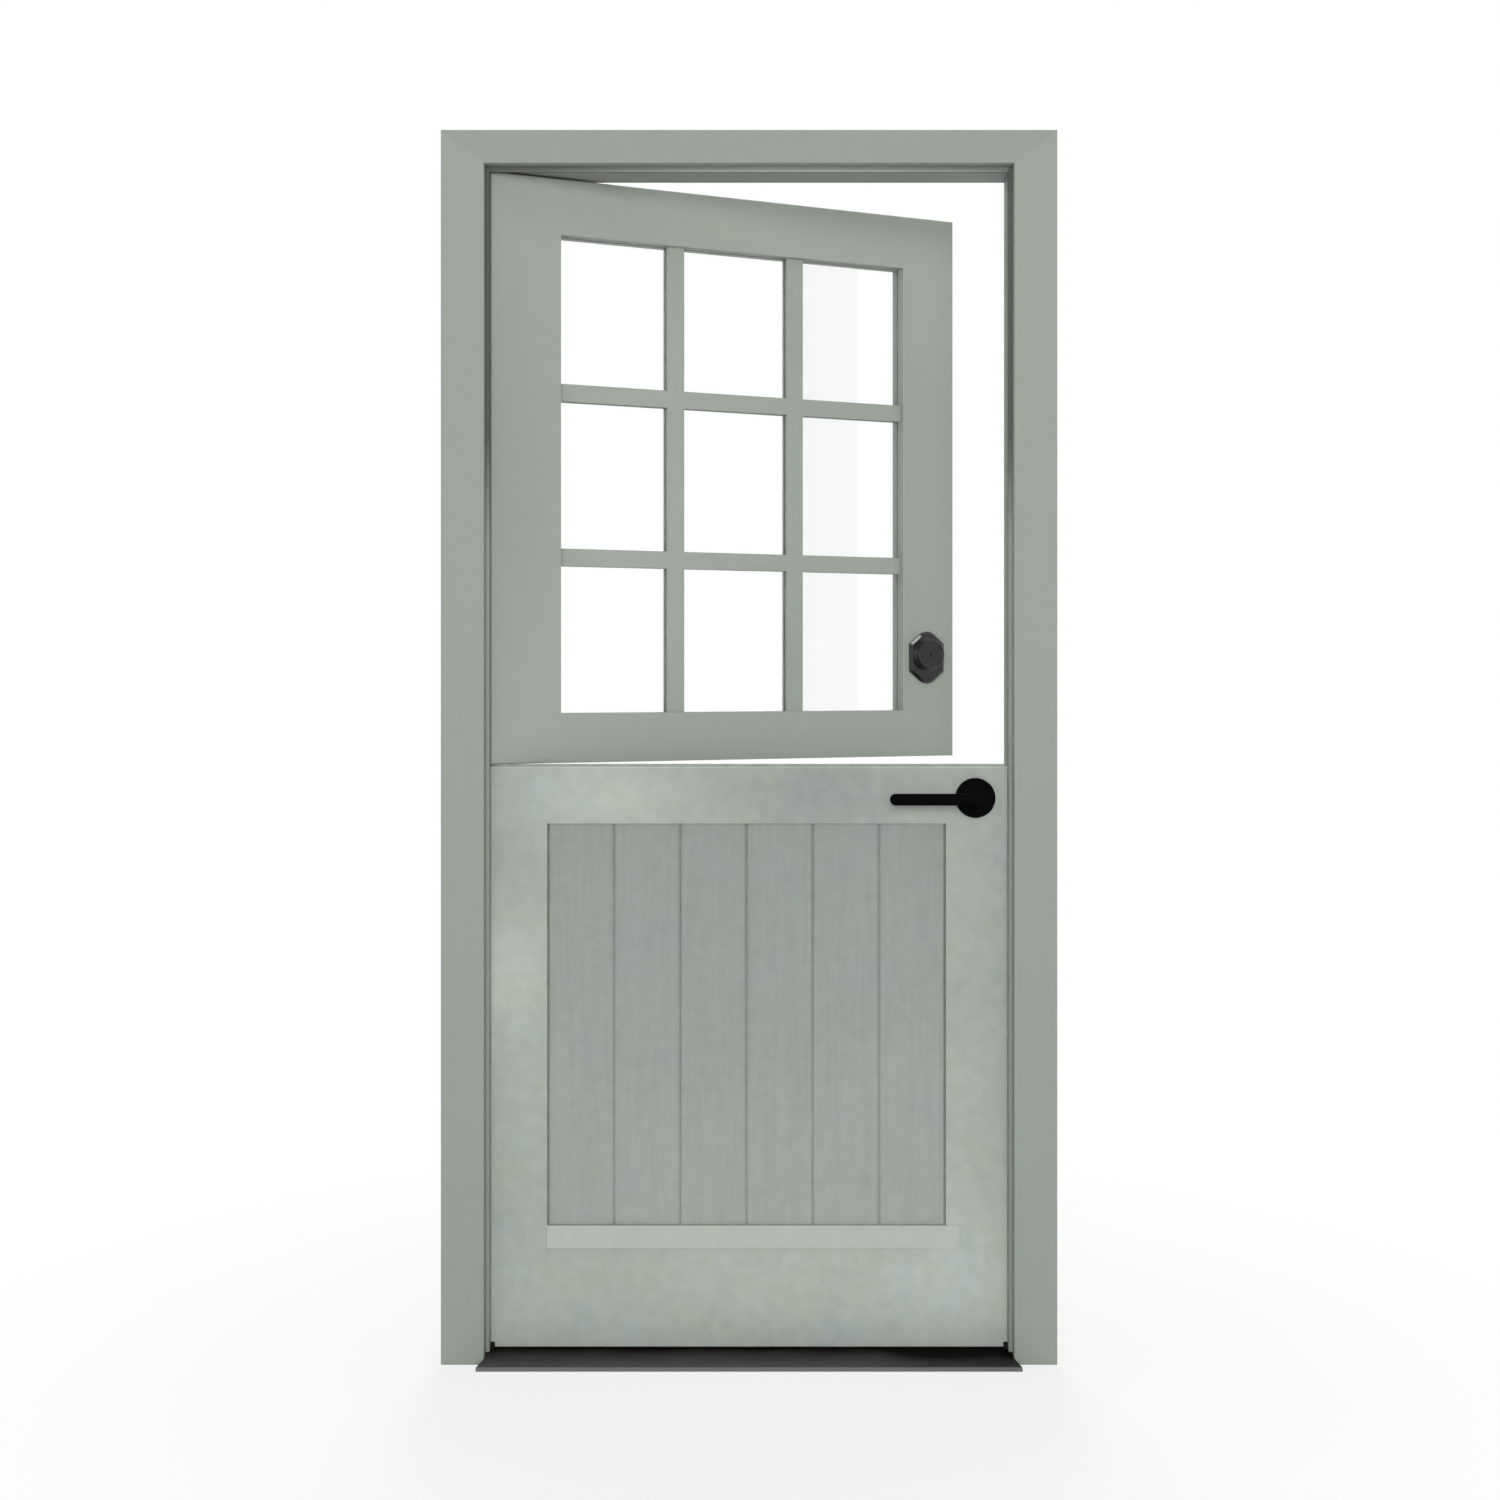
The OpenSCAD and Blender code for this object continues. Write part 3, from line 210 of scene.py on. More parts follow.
# Soft patches of painted light, or of painted shade below zero: middle across and up, half width and half
# height, strength.
LOWER_PAINTED_LIGHT = (
    ((-0.44, 0.67), (0.13, 0.19), 0.27),
    ((-0.27, 0.98), (0.25, 0.14), 0.27),
    ((0.14, 0.98), (0.24, 0.13), -0.17),
    ((0.0, 0.13), (0.6, 0.2), 0.11),
    ((0.33, 0.17), (0.3, 0.25), 0.13),
)
UPPER_PAINTED_LIGHT = (
    ((-0.44, 1.55), (0.22, 0.75), -0.12),
    ((0.12, 1.09), (0.4, 0.12), 0.09),
)
HEAD_PAINTED_LIGHT = (
    ((0.1, 2.065), (0.5, 0.3), 0.66),
    ((-0.42, 2.065), (0.24, 0.3), -0.3),
)


def patches_group(name, patches):
    """Soft patches of painted light, or of painted shade below zero, in the part's own X and Z."""
    tree, w, given, out = shader_group(name, [("Vector", VECTOR, None)], [("Fade", FLOAT)])
    tone_shift = 0.0
    for (across, up), (half_w, half_h), strength in patches:
        offset = w.add(
            "ShaderNodeVectorMath", {0: given["Vector"], 1: (across, 0.0, up)}, operation="SUBTRACT",
        ).outputs[0]
        scaled = w.stretch(offset, (1.0 / half_w, 0.0, 1.0 / half_h))
        far = w.add("ShaderNodeVectorMath", {0: scaled}, operation="LENGTH").outputs["Value"]
        soft = w.add(
            "ShaderNodeMapRange",
            {"Value": far, "From Min": 1.0, "From Max": 0.0, "To Min": 0.0, "To Max": strength},
            interpolation_type="SMOOTHSTEP",
        ).outputs["Result"]
        tone_shift = w.math("ADD", tone_shift, soft)
    w.feed(out.inputs["Fade"], tone_shift)
    return tree


def tone_shifts_group():
    """How much lighter the paint is at a place, darker below zero: a lighter foot, and painted light and
    shade.
    """
    tree, w, given, out = shader_group(
        "tone shifts",
        [
            ("Vector", VECTOR, None),
            ("Foot", FLOAT, 0.0),
            ("Patches", FLOAT, 0.0),
            ("Head Shade", FLOAT, 0.0),
            ("Front", FLOAT, 0.0),
            ("Shade", FLOAT, 0.0),
        ],
        [("Fade", FLOAT)],
    )
    height = w.add("ShaderNodeSeparateXYZ", {"Vector": given["Vector"]}).outputs["Z"]
    tone_shift = w.math("MULTIPLY", w.spread(height, *LIGHTER_FOOT_HEIGHTS), given["Foot"])
    # Painted shade: darker towards the head, between the head shade heights.
    tone_shift = w.math("SUBTRACT", tone_shift, w.math("MULTIPLY", w.spread(height, *HEAD_SHADE_HEIGHTS), given["Head Shade"]))
    tone_shift = w.math("ADD", tone_shift, given["Patches"])
    # Painted shade: the faces that look out are darkened by the shade amount.
    kept = w.math("SUBTRACT", 1.0, w.math("MULTIPLY", given["Front"], given["Shade"]))
    tone_shift = w.math("SUBTRACT", w.math("MULTIPLY", w.math("ADD", tone_shift, 1.0), kept), 1.0)
    w.feed(out.inputs["Fade"], tone_shift)
    return tree


# How many marks of each kind there are to a metre of paint, and of metal.
CLOUDS_PER_M = 2.6
TINTS_PER_M = 13.0
BLOTCHES_PER_M = 38.0
GRAIN_PER_M = 95.0
BRUSH_PER_M = 420.0
PEEL_PER_M = 900.0
SMEARS_PER_M = 24.0
LINES_PER_M = 1400.0
SPECKS_PER_M = 1600.0
COOL_TINT = (0.97, 1.0, 1.10, 1.0)
WARM_TINT = (1.02, 1.02, 0.93, 1.0)
# Painted shade: where creases are occluded, the paint's colour is multiplied by this.
CREASE_SHADE_TINT = (0.72, 0.70, 0.66, 1.0)


def paint_group():
    """Brushed paint over wood; Place is square to the leaf, and the grain runs along Grain's Z."""
    tree, w, given, out = shader_group(
        "brushed paint",
        [
            ("Place", VECTOR, None),
            ("Grain", VECTOR, None),
            ("Color", COLOUR, (0.35, 0.4, 0.34, 1.0)),
            ("Clouds", FLOAT, 0.06),
            ("Mottle", FLOAT, 0.1),
            ("Streak", FLOAT, 0.1),
            ("Fade", FLOAT, 0.0),
            ("Edge Highlight", FLOAT, 1.2),
            ("Chamfer", FLOAT, 0.0),
            ("Crease", FLOAT, 0.0),
            ("Crease Shade", FLOAT, 0.5),
        ],
        [("Color", COLOUR), ("Roughness", FLOAT), ("Height", FLOAT)],
    )
    place, along = given["Place"], given["Grain"]
    clouds = w.noise(place, CLOUDS_PER_M, 2.0, 0.5)
    blotches = w.noise(place, BLOTCHES_PER_M, 3.0, 0.6)
    brush = w.noise(w.stretch(along, (1.0, 1.0, 0.03)), BRUSH_PER_M, 3.0, 0.6)
    grain = w.noise(w.stretch(along, (1.0, 1.0, 0.055)), GRAIN_PER_M, 5.0, 0.62, 0.6)
    peel = w.noise(place, PEEL_PER_M, 2.0, 0.5)

    drift = w.math("MULTIPLY", w.math("SUBTRACT", clouds, 0.5), given["Clouds"])
    tone = w.math("ADD", w.math("MULTIPLY", blotches, 0.38), w.math("MULTIPLY", peel, 0.16))
    tone = w.math("MULTIPLY", w.math("SUBTRACT", tone, 0.27), given["Mottle"])
    tone = w.math("ADD", tone, drift)
    line = w.math("ADD", w.math("MULTIPLY", brush, 0.4), w.math("MULTIPLY", grain, 0.6))
    line = w.math("MULTIPLY", w.math("SUBTRACT", line, 0.5), given["Streak"])
    level = w.math("ADD", 1.0, w.math("ADD", tone, line))
    level = w.math("MULTIPLY", level, w.math("ADD", 1.0, given["Fade"]))
    paint = w.brighten(given["Color"], level)
    depth = w.math("MULTIPLY", given["Mottle"], 0.5, clamp=True)
    cool = w.mix(depth, paint, w.mix(1.0, paint, COOL_TINT, "MULTIPLY"))
    warm = w.mix(depth, paint, w.mix(1.0, paint, WARM_TINT, "MULTIPLY"))
    tints = w.noise(place, TINTS_PER_M, 4.0, 0.6, 0.4)
    paint = w.mix(w.spread(tints, 0.5, 0.66), paint, cool)
    paint = w.mix(w.spread(tints, 0.48, 0.34), paint, warm)
    # Painted highlight: the chamfers are painted lighter, standing in for the light that they catch.
    highlit = w.brighten(paint, given["Edge Highlight"])
    paint = w.mix(given["Chamfer"], paint, highlit)
    # Painted shade: creases and recesses, found by their occlusion, are painted darker.
    crease_shade = w.mix(1.0, paint, CREASE_SHADE_TINT, "MULTIPLY")
    paint = w.mix(w.math("MULTIPLY", given["Crease"], given["Crease Shade"]), paint, crease_shade)

    w.feed(out.inputs["Color"], paint)
    w.feed(out.inputs["Roughness"], w.spread(w.math("ADD", brush, clouds), 0.7, 1.3, 0.5, 0.62))
    w.feed(
        out.inputs["Height"],
        w.math("ADD", w.math("MULTIPLY", line, 6.0), w.math("MULTIPLY", peel, 0.25)),
    )
    return tree


def handled_group():
    """Dust and finger marks on metal: pale dust in the creases, dull smears on the faces."""
    tree, w, given, out = shader_group(
        "handled metal",
        [
            ("Vector", VECTOR, None),
            ("Color", COLOUR, (0.02, 0.02, 0.02, 1.0)),
            ("Roughness", FLOAT, 0.4),
            ("Smear", FLOAT, 0.15),
            ("Dust", FLOAT, 0.3),
            ("Crease", FLOAT, 0.0),
            ("Brush", VECTOR, (1.0, 1.0, 1.0)),
        ],
        [("Color", COLOUR), ("Roughness", FLOAT), ("Height", FLOAT)],
    )
    place = given["Vector"]
    smears = w.noise(place, SMEARS_PER_M, 4.0, 0.65, 1.2)
    specks = w.noise(place, SPECKS_PER_M, 2.0, 0.5)
    lines = w.noise(w.stretch(place, given["Brush"]), LINES_PER_M, 2.0, 0.5)
    marked = w.brighten(given["Color"], w.spread(smears, 0.3, 0.7, 0.86, 1.16))
    dust = w.math("MULTIPLY", w.math("MULTIPLY", given["Crease"], specks), given["Dust"])
    w.feed(out.inputs["Color"], w.mix(dust, marked, colour(DUST_GREY)))
    dull = w.math("MULTIPLY", w.math("SUBTRACT", smears, 0.5), given["Smear"])
    w.feed(out.inputs["Roughness"], w.math("MAXIMUM", w.math("ADD", given["Roughness"], dull), 0.05))
    height = w.math("ADD", w.math("MULTIPLY", lines, 0.6), w.math("MULTIPLY", specks, 0.4))
    w.feed(out.inputs["Height"], height)
    return tree


EDGES = edges_group()
TONE_SHIFTS = tone_shifts_group()
LOWER_PATCHES = patches_group("painted light patches, lower leaf", LOWER_PAINTED_LIGHT)
UPPER_PATCHES = patches_group("painted light patches, upper leaf", UPPER_PAINTED_LIGHT)
HEAD_PATCHES = patches_group("painted light patches, head", HEAD_PAINTED_LIGHT)
PAINT = paint_group()
HANDLED = handled_group()


def blank_material(name):
    """A new material with one principled shader and its output."""
    material = bpy.data.materials.new(name)
    material.use_nodes = True
    material.node_tree.nodes.clear()
    w = Wiring(material.node_tree)
    shader = w.add("ShaderNodeBsdfPrincipled")
    output = w.add("ShaderNodeOutputMaterial", {"Surface": shader.outputs[0]})
    return material, w, shader, output


# Turns that bring the grain from the Z axis to the length of a member.
ALONG_UPRIGHT = (0.0, 0.0, 0.0)
ALONG_LEVEL = (0.0, math.pi / 2, 0.0)


def painted_wood(
    name, steps, along, mottle, streak, edge_highlight=1.15, swing=0.0, specular=0.32, tone_shift=0.0, clouds=0.06, crease_shade=0.3,
    patches=None, head_shade=0.0, shade=0.0,
):
    """Satin paint on a wooden member.

    Swing is how far its leaf stands open. The other amounts say how much lighter its foot is, how much
    painted shade darkens its top and the faces that look out, which patches of painted light it gets,
    how much painted highlight its chamfers get and how much painted shade its creases get.
    """
    material, w, shader, _ = blank_material(name)
    place = w.add("ShaderNodeTexCoord").outputs["Object"]
    square_on = w.add("ShaderNodeMapping", {"Vector": place, "Rotation": (0.0, 0.0, -swing)}).outputs[0]
    lengthwise = w.add("ShaderNodeMapping", {"Vector": square_on, "Rotation": along}).outputs[0]
    edges = w.add("ShaderNodeGroup", node_tree=EDGES)
    edges.inputs["Swing"].default_value = swing
    paint = w.add("ShaderNodeGroup", node_tree=PAINT)
    w.feed(paint.inputs["Place"], square_on)
    w.feed(paint.inputs["Grain"], lengthwise)
    paint.inputs["Color"].default_value = colour(steps)
    amounts = (("Clouds", clouds), ("Mottle", mottle), ("Streak", streak), ("Edge Highlight", edge_highlight), ("Crease Shade", crease_shade))
    for label, value in amounts:
        paint.inputs[label].default_value = value
    shifts = w.add("ShaderNodeGroup", node_tree=TONE_SHIFTS)
    w.feed(shifts.inputs["Vector"], place)
    shifts.inputs["Foot"].default_value = tone_shift
    # Painted light and shade in soft patches, where the member has them.
    if patches:
        spots = w.add("ShaderNodeGroup", node_tree=patches)
        w.feed(spots.inputs["Vector"], place)
        w.feed(shifts.inputs["Patches"], spots.outputs["Fade"])
    shifts.inputs["Head Shade"].default_value = head_shade
    shifts.inputs["Shade"].default_value = shade
    w.feed(shifts.inputs["Front"], edges.outputs["Front"])
    w.feed(paint.inputs["Fade"], shifts.outputs["Fade"])
    w.feed(paint.inputs["Chamfer"], edges.outputs["Chamfer"])
    w.feed(paint.inputs["Crease"], edges.outputs["Crease"])
    bump = w.add("ShaderNodeBump", {"Strength": 0.22, "Distance": 0.0006})
    w.feed(bump.inputs["Height"], paint.outputs["Height"])
    w.feed(bump.inputs["Normal"], edges.outputs["Normal"])
    w.feed(shader.inputs["Base Color"], paint.outputs["Color"])
    w.feed(shader.inputs["Roughness"], paint.outputs["Roughness"])
    w.feed(shader.inputs["Normal"], bump.outputs[0])
    shader.inputs["Specular IOR Level"].default_value = specular
    return material


def handled_metal(
    name, steps, roughness, smear, dust, brush=(1.0, 1.0, 1.0), metallic=0.0, specular=0.5, coat=0.0,
):
    """Painted or bare metal with finger marks, and its arrises painted a little brighter as a painted
    highlight.
    """
    material, w, shader, _ = blank_material(name)
    place = w.add("ShaderNodeTexCoord").outputs["Object"]
    edges = w.add("ShaderNodeGroup", node_tree=EDGES)
    edges.inputs["Radius"].default_value = 0.0008
    edges.inputs["Reach"].default_value = 0.012
    metal = w.add("ShaderNodeGroup", node_tree=HANDLED)
    w.feed(metal.inputs["Vector"], place)
    metal.inputs["Color"].default_value = colour(steps)
    metal.inputs["Roughness"].default_value = roughness
    metal.inputs["Smear"].default_value = smear
    metal.inputs["Dust"].default_value = dust
    metal.inputs["Brush"].default_value = brush
    w.feed(metal.inputs["Crease"], edges.outputs["Crease"])
    bump = w.add("ShaderNodeBump", {"Strength": 0.12, "Distance": 0.0002})
    w.feed(bump.inputs["Height"], metal.outputs["Height"])
    w.feed(bump.inputs["Normal"], edges.outputs["Normal"])
    # Painted highlight: the arrises are painted up to 1.6 times lighter.
    painted_edge_light = w.brighten(metal.outputs["Color"], w.spread(edges.outputs["Arris"], 0.0, 1.0, 1.0, 1.6))
    w.feed(shader.inputs["Base Color"], painted_edge_light)
    w.feed(shader.inputs["Roughness"], metal.outputs["Roughness"])
    w.feed(shader.inputs["Normal"], bump.outputs[0])
    shader.inputs["Metallic"].default_value = metallic
    shader.inputs["Specular IOR Level"].default_value = specular
    shader.inputs["Coat Weight"].default_value = coat
    shader.inputs["Coat Roughness"].default_value = 0.08
    return material


def sill_metal(name):
    """Dark sill cap: painted shade darkens it towards the leaves and the lock side, a painted highlight pales
    the front lip.
    """
    material = handled_metal(name, SILL_BLACK, 0.48, 0.25, 0.5, brush=(0.02, 1.0, 1.0))
    w = Wiring(material.node_tree)
    shader = next(n for n in material.node_tree.nodes if n.type == "BSDF_PRINCIPLED")
    finish = shader.inputs["Base Color"].links[0].from_socket
    place = w.add("ShaderNodeTexCoord").outputs["Object"]
    sides = w.add("ShaderNodeSeparateXYZ", {"Vector": place}).outputs
    depth = sides["Y"]
    patchy = w.noise(w.stretch(place, (0.4, 1.0, 1.0)), 30.0, 4.0, 0.6)
    # Painted shade: darker towards the leaves and the lock side, with less mirror strength there.
    shade_by_depth = w.math("ADD", w.spread(depth, *SILL_SHADE_DEPTHS), w.spread(patchy, 0.35, 0.65, -0.08, 0.08))
    sill_shade = w.math("ADD", shade_by_depth, w.spread(sides["X"], *SILL_SHADE_ACROSS, 0.0, SILL_SHADE_AT_LOCK_END), clamp=True)
    w.feed(shader.inputs["Specular IOR Level"], w.spread(sill_shade, 0.0, 1.0, *SILL_SPECULAR))
    shaded = w.mix(sill_shade, finish, w.mix(1.0, finish, SILL_SHADE_TINT, "MULTIPLY"))
    # Painted highlight: the front lip is painted paler, in patches.
    painted_edge_light = w.math("MULTIPLY", w.spread(depth, *SILL_LIP), w.spread(patchy, 0.3, 0.6, 0.75, 1.0))
    w.feed(shader.inputs["Base Color"], w.mix(painted_edge_light, shaded, colour(SILL_LIP_HIGHLIGHT)))
    return material


def clear_glass(name):
    """Float glass: clear, faintly green at its edges, with wiped smears."""
    material, w, shader, _ = blank_material(name)
    place = w.add("ShaderNodeTexCoord").outputs["Object"]
    wiped = w.noise(w.stretch(place, (1.0, 1.0, 0.3)), 9.0, 4.0, 0.6, 1.5)
    w.feed(shader.inputs["Roughness"], w.spread(wiped, 0.45, 0.75, 0.0, 0.03))
    shader.inputs["Base Color"].default_value = (0.99, 0.997, 0.994, 1.0)
    shader.inputs["IOR"].default_value = 1.5
    shader.inputs["Transmission Weight"].default_value = 1.0
    return material


def seal_rubber(name, steps):
    """Matt rubber with a fine nap and a chalky bloom."""
    material, w, shader, _ = blank_material(name)
    place = w.add("ShaderNodeTexCoord").outputs["Object"]
    nap = w.noise(place, 1100.0, 2.0, 0.6)
    bloom = w.noise(place, 30.0, 4.0, 0.6)
    w.feed(shader.inputs["Base Color"], w.brighten(colour(steps), w.spread(bloom, 0.3, 0.7, 0.8, 1.25)))
    w.feed(shader.inputs["Roughness"], w.spread(bloom, 0.3, 0.7, 0.72, 0.9))
    bump = w.add("ShaderNodeBump", {"Strength": 0.25, "Distance": 0.0003, "Height": nap})
    w.feed(shader.inputs["Normal"], bump.outputs[0])
    shader.inputs["Specular IOR Level"].default_value = 0.2
    return material


# How the paint of each group of members is marked, and how much painted light and shade it gets.
PLAIN_COAT = {"mottle": 0.10, "streak": 0.05}
UPPER_COAT = {"edge_highlight": 1.2, "swing": UPPER_OPEN, "patches": UPPER_PATCHES, **PLAIN_COAT}
LOWER_COAT = {
    "mottle": 0.8, "streak": 0.06, "edge_highlight": 1.5, "tone_shift": 0.18, "clouds": 0.35, "crease_shade": 0.1,
    "patches": LOWER_PATCHES,
}
BOARD_COAT = {"mottle": 0.6, "streak": 0.36, "edge_highlight": 1.14, "tone_shift": 0.33, "clouds": 0.2, "crease_shade": 0.1}
STOP_COAT = {"mottle": 0.10, "streak": 0.08, "edge_highlight": 1.0}
# Painted shade on the head stop: its faces that look out are darkened.
HEAD_STOP_COAT = {"specular": 0.15, "shade": 0.6, "patches": HEAD_PATCHES, **STOP_COAT}

FRAME_UPRIGHT = painted_wood("frame paint, upright", FRAME_GREEN, ALONG_UPRIGHT, **PLAIN_COAT)
FRAME_LEVEL = painted_wood("frame paint, level", HEAD_GREEN_SHADED, ALONG_LEVEL, **PLAIN_COAT)
UPPER_UPRIGHT = painted_wood("upper leaf paint, upright", UPPER_GREEN_LIT, ALONG_UPRIGHT, **UPPER_COAT)
UPPER_LEVEL = painted_wood("upper leaf paint, level", UPPER_GREEN_LIT, ALONG_LEVEL, **UPPER_COAT)
LOWER_UPRIGHT = painted_wood("lower leaf paint, upright", LOWER_GREEN, ALONG_UPRIGHT, **LOWER_COAT)
LOWER_LEVEL = painted_wood("lower leaf paint, level", LOWER_GREEN, ALONG_LEVEL, **LOWER_COAT)
BOARDS = painted_wood("board paint", BOARD_GREEN, ALONG_UPRIGHT, **BOARD_COAT)
PALE_BAR = painted_wood("pale bar paint", PALE_GREEN, ALONG_LEVEL, mottle=0.4, streak=0.06, tone_shift=0.13)
# Painted shade: the side stops are darkened towards the head.
STOPS = painted_wood("stop paint, upright", STOP_GREEN, ALONG_UPRIGHT, specular=0.06, head_shade=0.62, **STOP_COAT)
HEAD_STOP = painted_wood("stop paint, level", HEAD_STOP_GREEN_LIT, ALONG_LEVEL, **HEAD_STOP_COAT)
SILL_TIMBER = painted_wood("sill core stain", SILL_WOOD, ALONG_LEVEL, mottle=0.2, streak=0.5, specular=0.2)
RUBBER = seal_rubber("seal rubber", SEAL_GREY)
GREEN_RUBBER = seal_rubber("meeting seal rubber", SEAL_GREEN)
PADS = seal_rubber("corner pad rubber", PAD_BLACK)
SILL = sill_metal("sill cap, dark bronze")
LEVER = handled_metal("lever, satin black", LEVER_BLACK, 0.5, 0.15, 0.1, specular=0.02)
BOLTS = handled_metal("bolt, satin black", LEVER_BLACK, 0.5, 0.2, 0.3, specular=0.3)
LOCK = handled_metal("deadbolt, gloss black", LOCK_BLACK, 0.14, 0.08, 0.2, specular=0.4, coat=0.1)
STEEL = handled_metal("hinge steel", PLAIN_STEEL, 0.34, 0.2, 0.3, brush=(1.0, 1.0, 0.03), metallic=1.0)
GLASS = clear_glass("pane glass")

FINISHES = {
    FRAME_UPRIGHT: ("hinge_jamb", "lock_jamb", "casing_left", "casing_right"),
    FRAME_LEVEL: ("head_jamb", "casing_head"),
    STOPS: ("stop_hinge_side", "stop_lock_side"),
    HEAD_STOP: ("stop_head",),
    RUBBER: ("frame_seals", "bottom_sweep"),
    GREEN_RUBBER: ("meeting_seal",),
    PADS: ("corner_pads",),
    SILL: ("sill_cap", "sill_riser"),
    SILL_TIMBER: ("sill_core",),
    UPPER_UPRIGHT: (
        "upper_hinge_stile", "upper_lock_stile", "upright_bar_hinge_side", "upright_bar_lock_side",
    ),
    UPPER_LEVEL: (
        "upper_top_rail", "upper_bottom_rail", "level_bars_upper", "level_bars_lower", "glazing_beads",
    ),
    GLASS: ("glass_panes",),
    LOWER_UPRIGHT: ("lower_hinge_stile", "lower_lock_stile"),
    LOWER_LEVEL: ("lower_top_rail", "lower_bottom_rail"),
    BOARDS: ("board_1", "board_2", "board_3", "board_4", "board_5", "board_6"),
    PALE_BAR: ("boards_sill_bar",),
    LEVER: ("rose_outside", "rose_inside", "lever_outside", "lever_inside"),
    BOLTS: ("joining_bolt_plate", "joining_bolt_rod", "joining_keep"),
    LOCK: ("deadbolt_escutcheon", "deadbolt_collar", "key_plug", "thumbturn_plate", "thumbturn"),
    STEEL: (
        "frame_hinge_plates", "upper_hinge_plates", "lower_hinge_plates", "hinge_pins", "latch_strike",
        "deadbolt_strike", "latch_case", "deadbolt_case", "latch_bolt", "deadbolt_bolt", "spindle",
    ),
}
for material, names in FINISHES.items():
    for name in names:
        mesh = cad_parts[name].data
        mesh.materials.clear()
        mesh.materials.append(material)


def screw_tree():
    """Countersunk screws: a coned head with a crossed slot on each given point, along its own way."""
    tree = bpy.data.node_groups.new("countersunk screws", "GeometryNodeTree")
    sizes = (
        ("Head Radius", 0.004), ("Shank Radius", 0.0021), ("Head Depth", 0.0028),
        ("Slot Length", 0.0048), ("Slot Width", 0.0009), ("Slot Depth", 0.0014),
    )
    tree.interface.new_socket("Points", in_out="INPUT", socket_type="NodeSocketGeometry")
    for label, default in sizes:
        socket = tree.interface.new_socket(label, in_out="INPUT", socket_type="NodeSocketFloat")
        socket.default_value = default
    tree.interface.new_socket("Finish", in_out="INPUT", socket_type="NodeSocketMaterial")
    tree.interface.new_socket("Screws", in_out="OUTPUT", socket_type="NodeSocketGeometry")
    w = Wiring(tree)
    given = w.add("NodeGroupInput").outputs
    out = w.add("NodeGroupOutput")

    head = w.add(
        "GeometryNodeMeshCone",
        {
            "Vertices": 24,
            "Radius Top": given["Head Radius"],
            "Radius Bottom": given["Shank Radius"],
            "Depth": given["Head Depth"],
        },
    ).outputs["Mesh"]
    sunk = w.add("ShaderNodeCombineXYZ", {"Z": w.math("MULTIPLY", given["Head Depth"], -1.0)}).outputs[0]
    head = w.add("GeometryNodeTransform", {"Geometry": head, "Translation": sunk}).outputs[0]
    deep = w.math("MULTIPLY", given["Slot Depth"], 2.0)
    slots = []
    for across, along in (("Slot Length", "Slot Width"), ("Slot Width", "Slot Length")):
        size = w.add("ShaderNodeCombineXYZ", {"X": given[across], "Y": given[along], "Z": deep}).outputs[0]
        slots.append(w.add("GeometryNodeMeshCube", {"Size": size}).outputs["Mesh"])
    cut = w.add("GeometryNodeMeshBoolean", operation="DIFFERENCE")
    w.feed(cut.inputs["Mesh 1"], head)
    for slot in slots:
        tree.links.new(slot, cut.inputs["Mesh 2"])

    way = w.add(
        "GeometryNodeInputNamedAttribute", {"Name": "way"}, data_type="FLOAT_VECTOR",
    ).outputs["Attribute"]
    spin = w.add("FunctionNodeRandomValue", {"Min": 0.0, "Max": 1.5, "Seed": 11}, data_type="FLOAT")
    spin_value = next(s for s in spin.outputs if s.enabled)
    aim = w.add("FunctionNodeAlignRotationToVector", {"Vector": way}, axis="Z").outputs[0]
    turn = w.add("FunctionNodeAxisAngleToRotation", {"Axis": (0.0, 0.0, 1.0), "Angle": spin_value}).outputs[0]
    both = w.add(
        "FunctionNodeRotateRotation", {"Rotation": aim, "Rotate By": turn}, rotation_space="LOCAL",
    ).outputs[0]
    placed = w.add(
        "GeometryNodeInstanceOnPoints",
        {"Points": given["Points"], "Instance": cut.outputs["Mesh"], "Rotation": both},
    ).outputs[0]
    solid = w.add("GeometryNodeRealizeInstances", {"Geometry": placed}).outputs[0]
    flat = w.add("GeometryNodeSetShadeSmooth", {"Geometry": solid, "Shade Smooth": False}).outputs[0]
    finished = w.add("GeometryNodeSetMaterial", {"Geometry": flat, "Material": given["Finish"]}).outputs[0]
    w.feed(out.inputs["Screws"], finished)
    return tree


SCREWS = screw_tree()


def screws(name, body, material, spots):
    """One piece of screws for one body; spots are (place, way) pairs."""
    mesh = bpy.data.meshes.new(name + " places")
    mesh.from_pydata([place for place, _ in spots], [], [])
    ways = mesh.attributes.new("way", "FLOAT_VECTOR", "POINT")
    for item, (_, way) in zip(ways.data, spots):
        item.vector = way
    carrier = bpy.data.objects.new(name + "_places", mesh)
    bpy.context.scene.collection.objects.link(carrier)
    modifier = carrier.modifiers.new("screws", "NODES")
    modifier.node_group = SCREWS
    modifier[SCREWS.interface.items_tree["Finish"].identifier] = material
    bpy.context.view_layer.update()
    evaluated = carrier.evaluated_get(bpy.context.evaluated_depsgraph_get())
    made = bpy.data.meshes.new_from_object(evaluated)
    bpy.data.objects.remove(carrier)
    piece = bpy.data.objects.new(name, made)
    bpy.context.scene.collection.objects.link(piece)
    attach(piece, body)


def swung(spot):
    """A spot of the shut upper leaf, and its way, moved to where the leaf stands open."""
    place, way = spot
    turn = Matrix.Rotation(UPPER_OPEN, 3, "Z")
    return turn @ (Vector(place) - HINGE_LINE) + HINGE_LINE, turn @ Vector(way)


# Middle of the hinge plates' screws, and each screw's place up and aside from it.
PLATE_SCREW_Y = HINGE_LINE.y - 0.0276
PLATE_SCREWS = ((-0.035, 0.005), (0.0, -0.005), (0.035, 0.005))


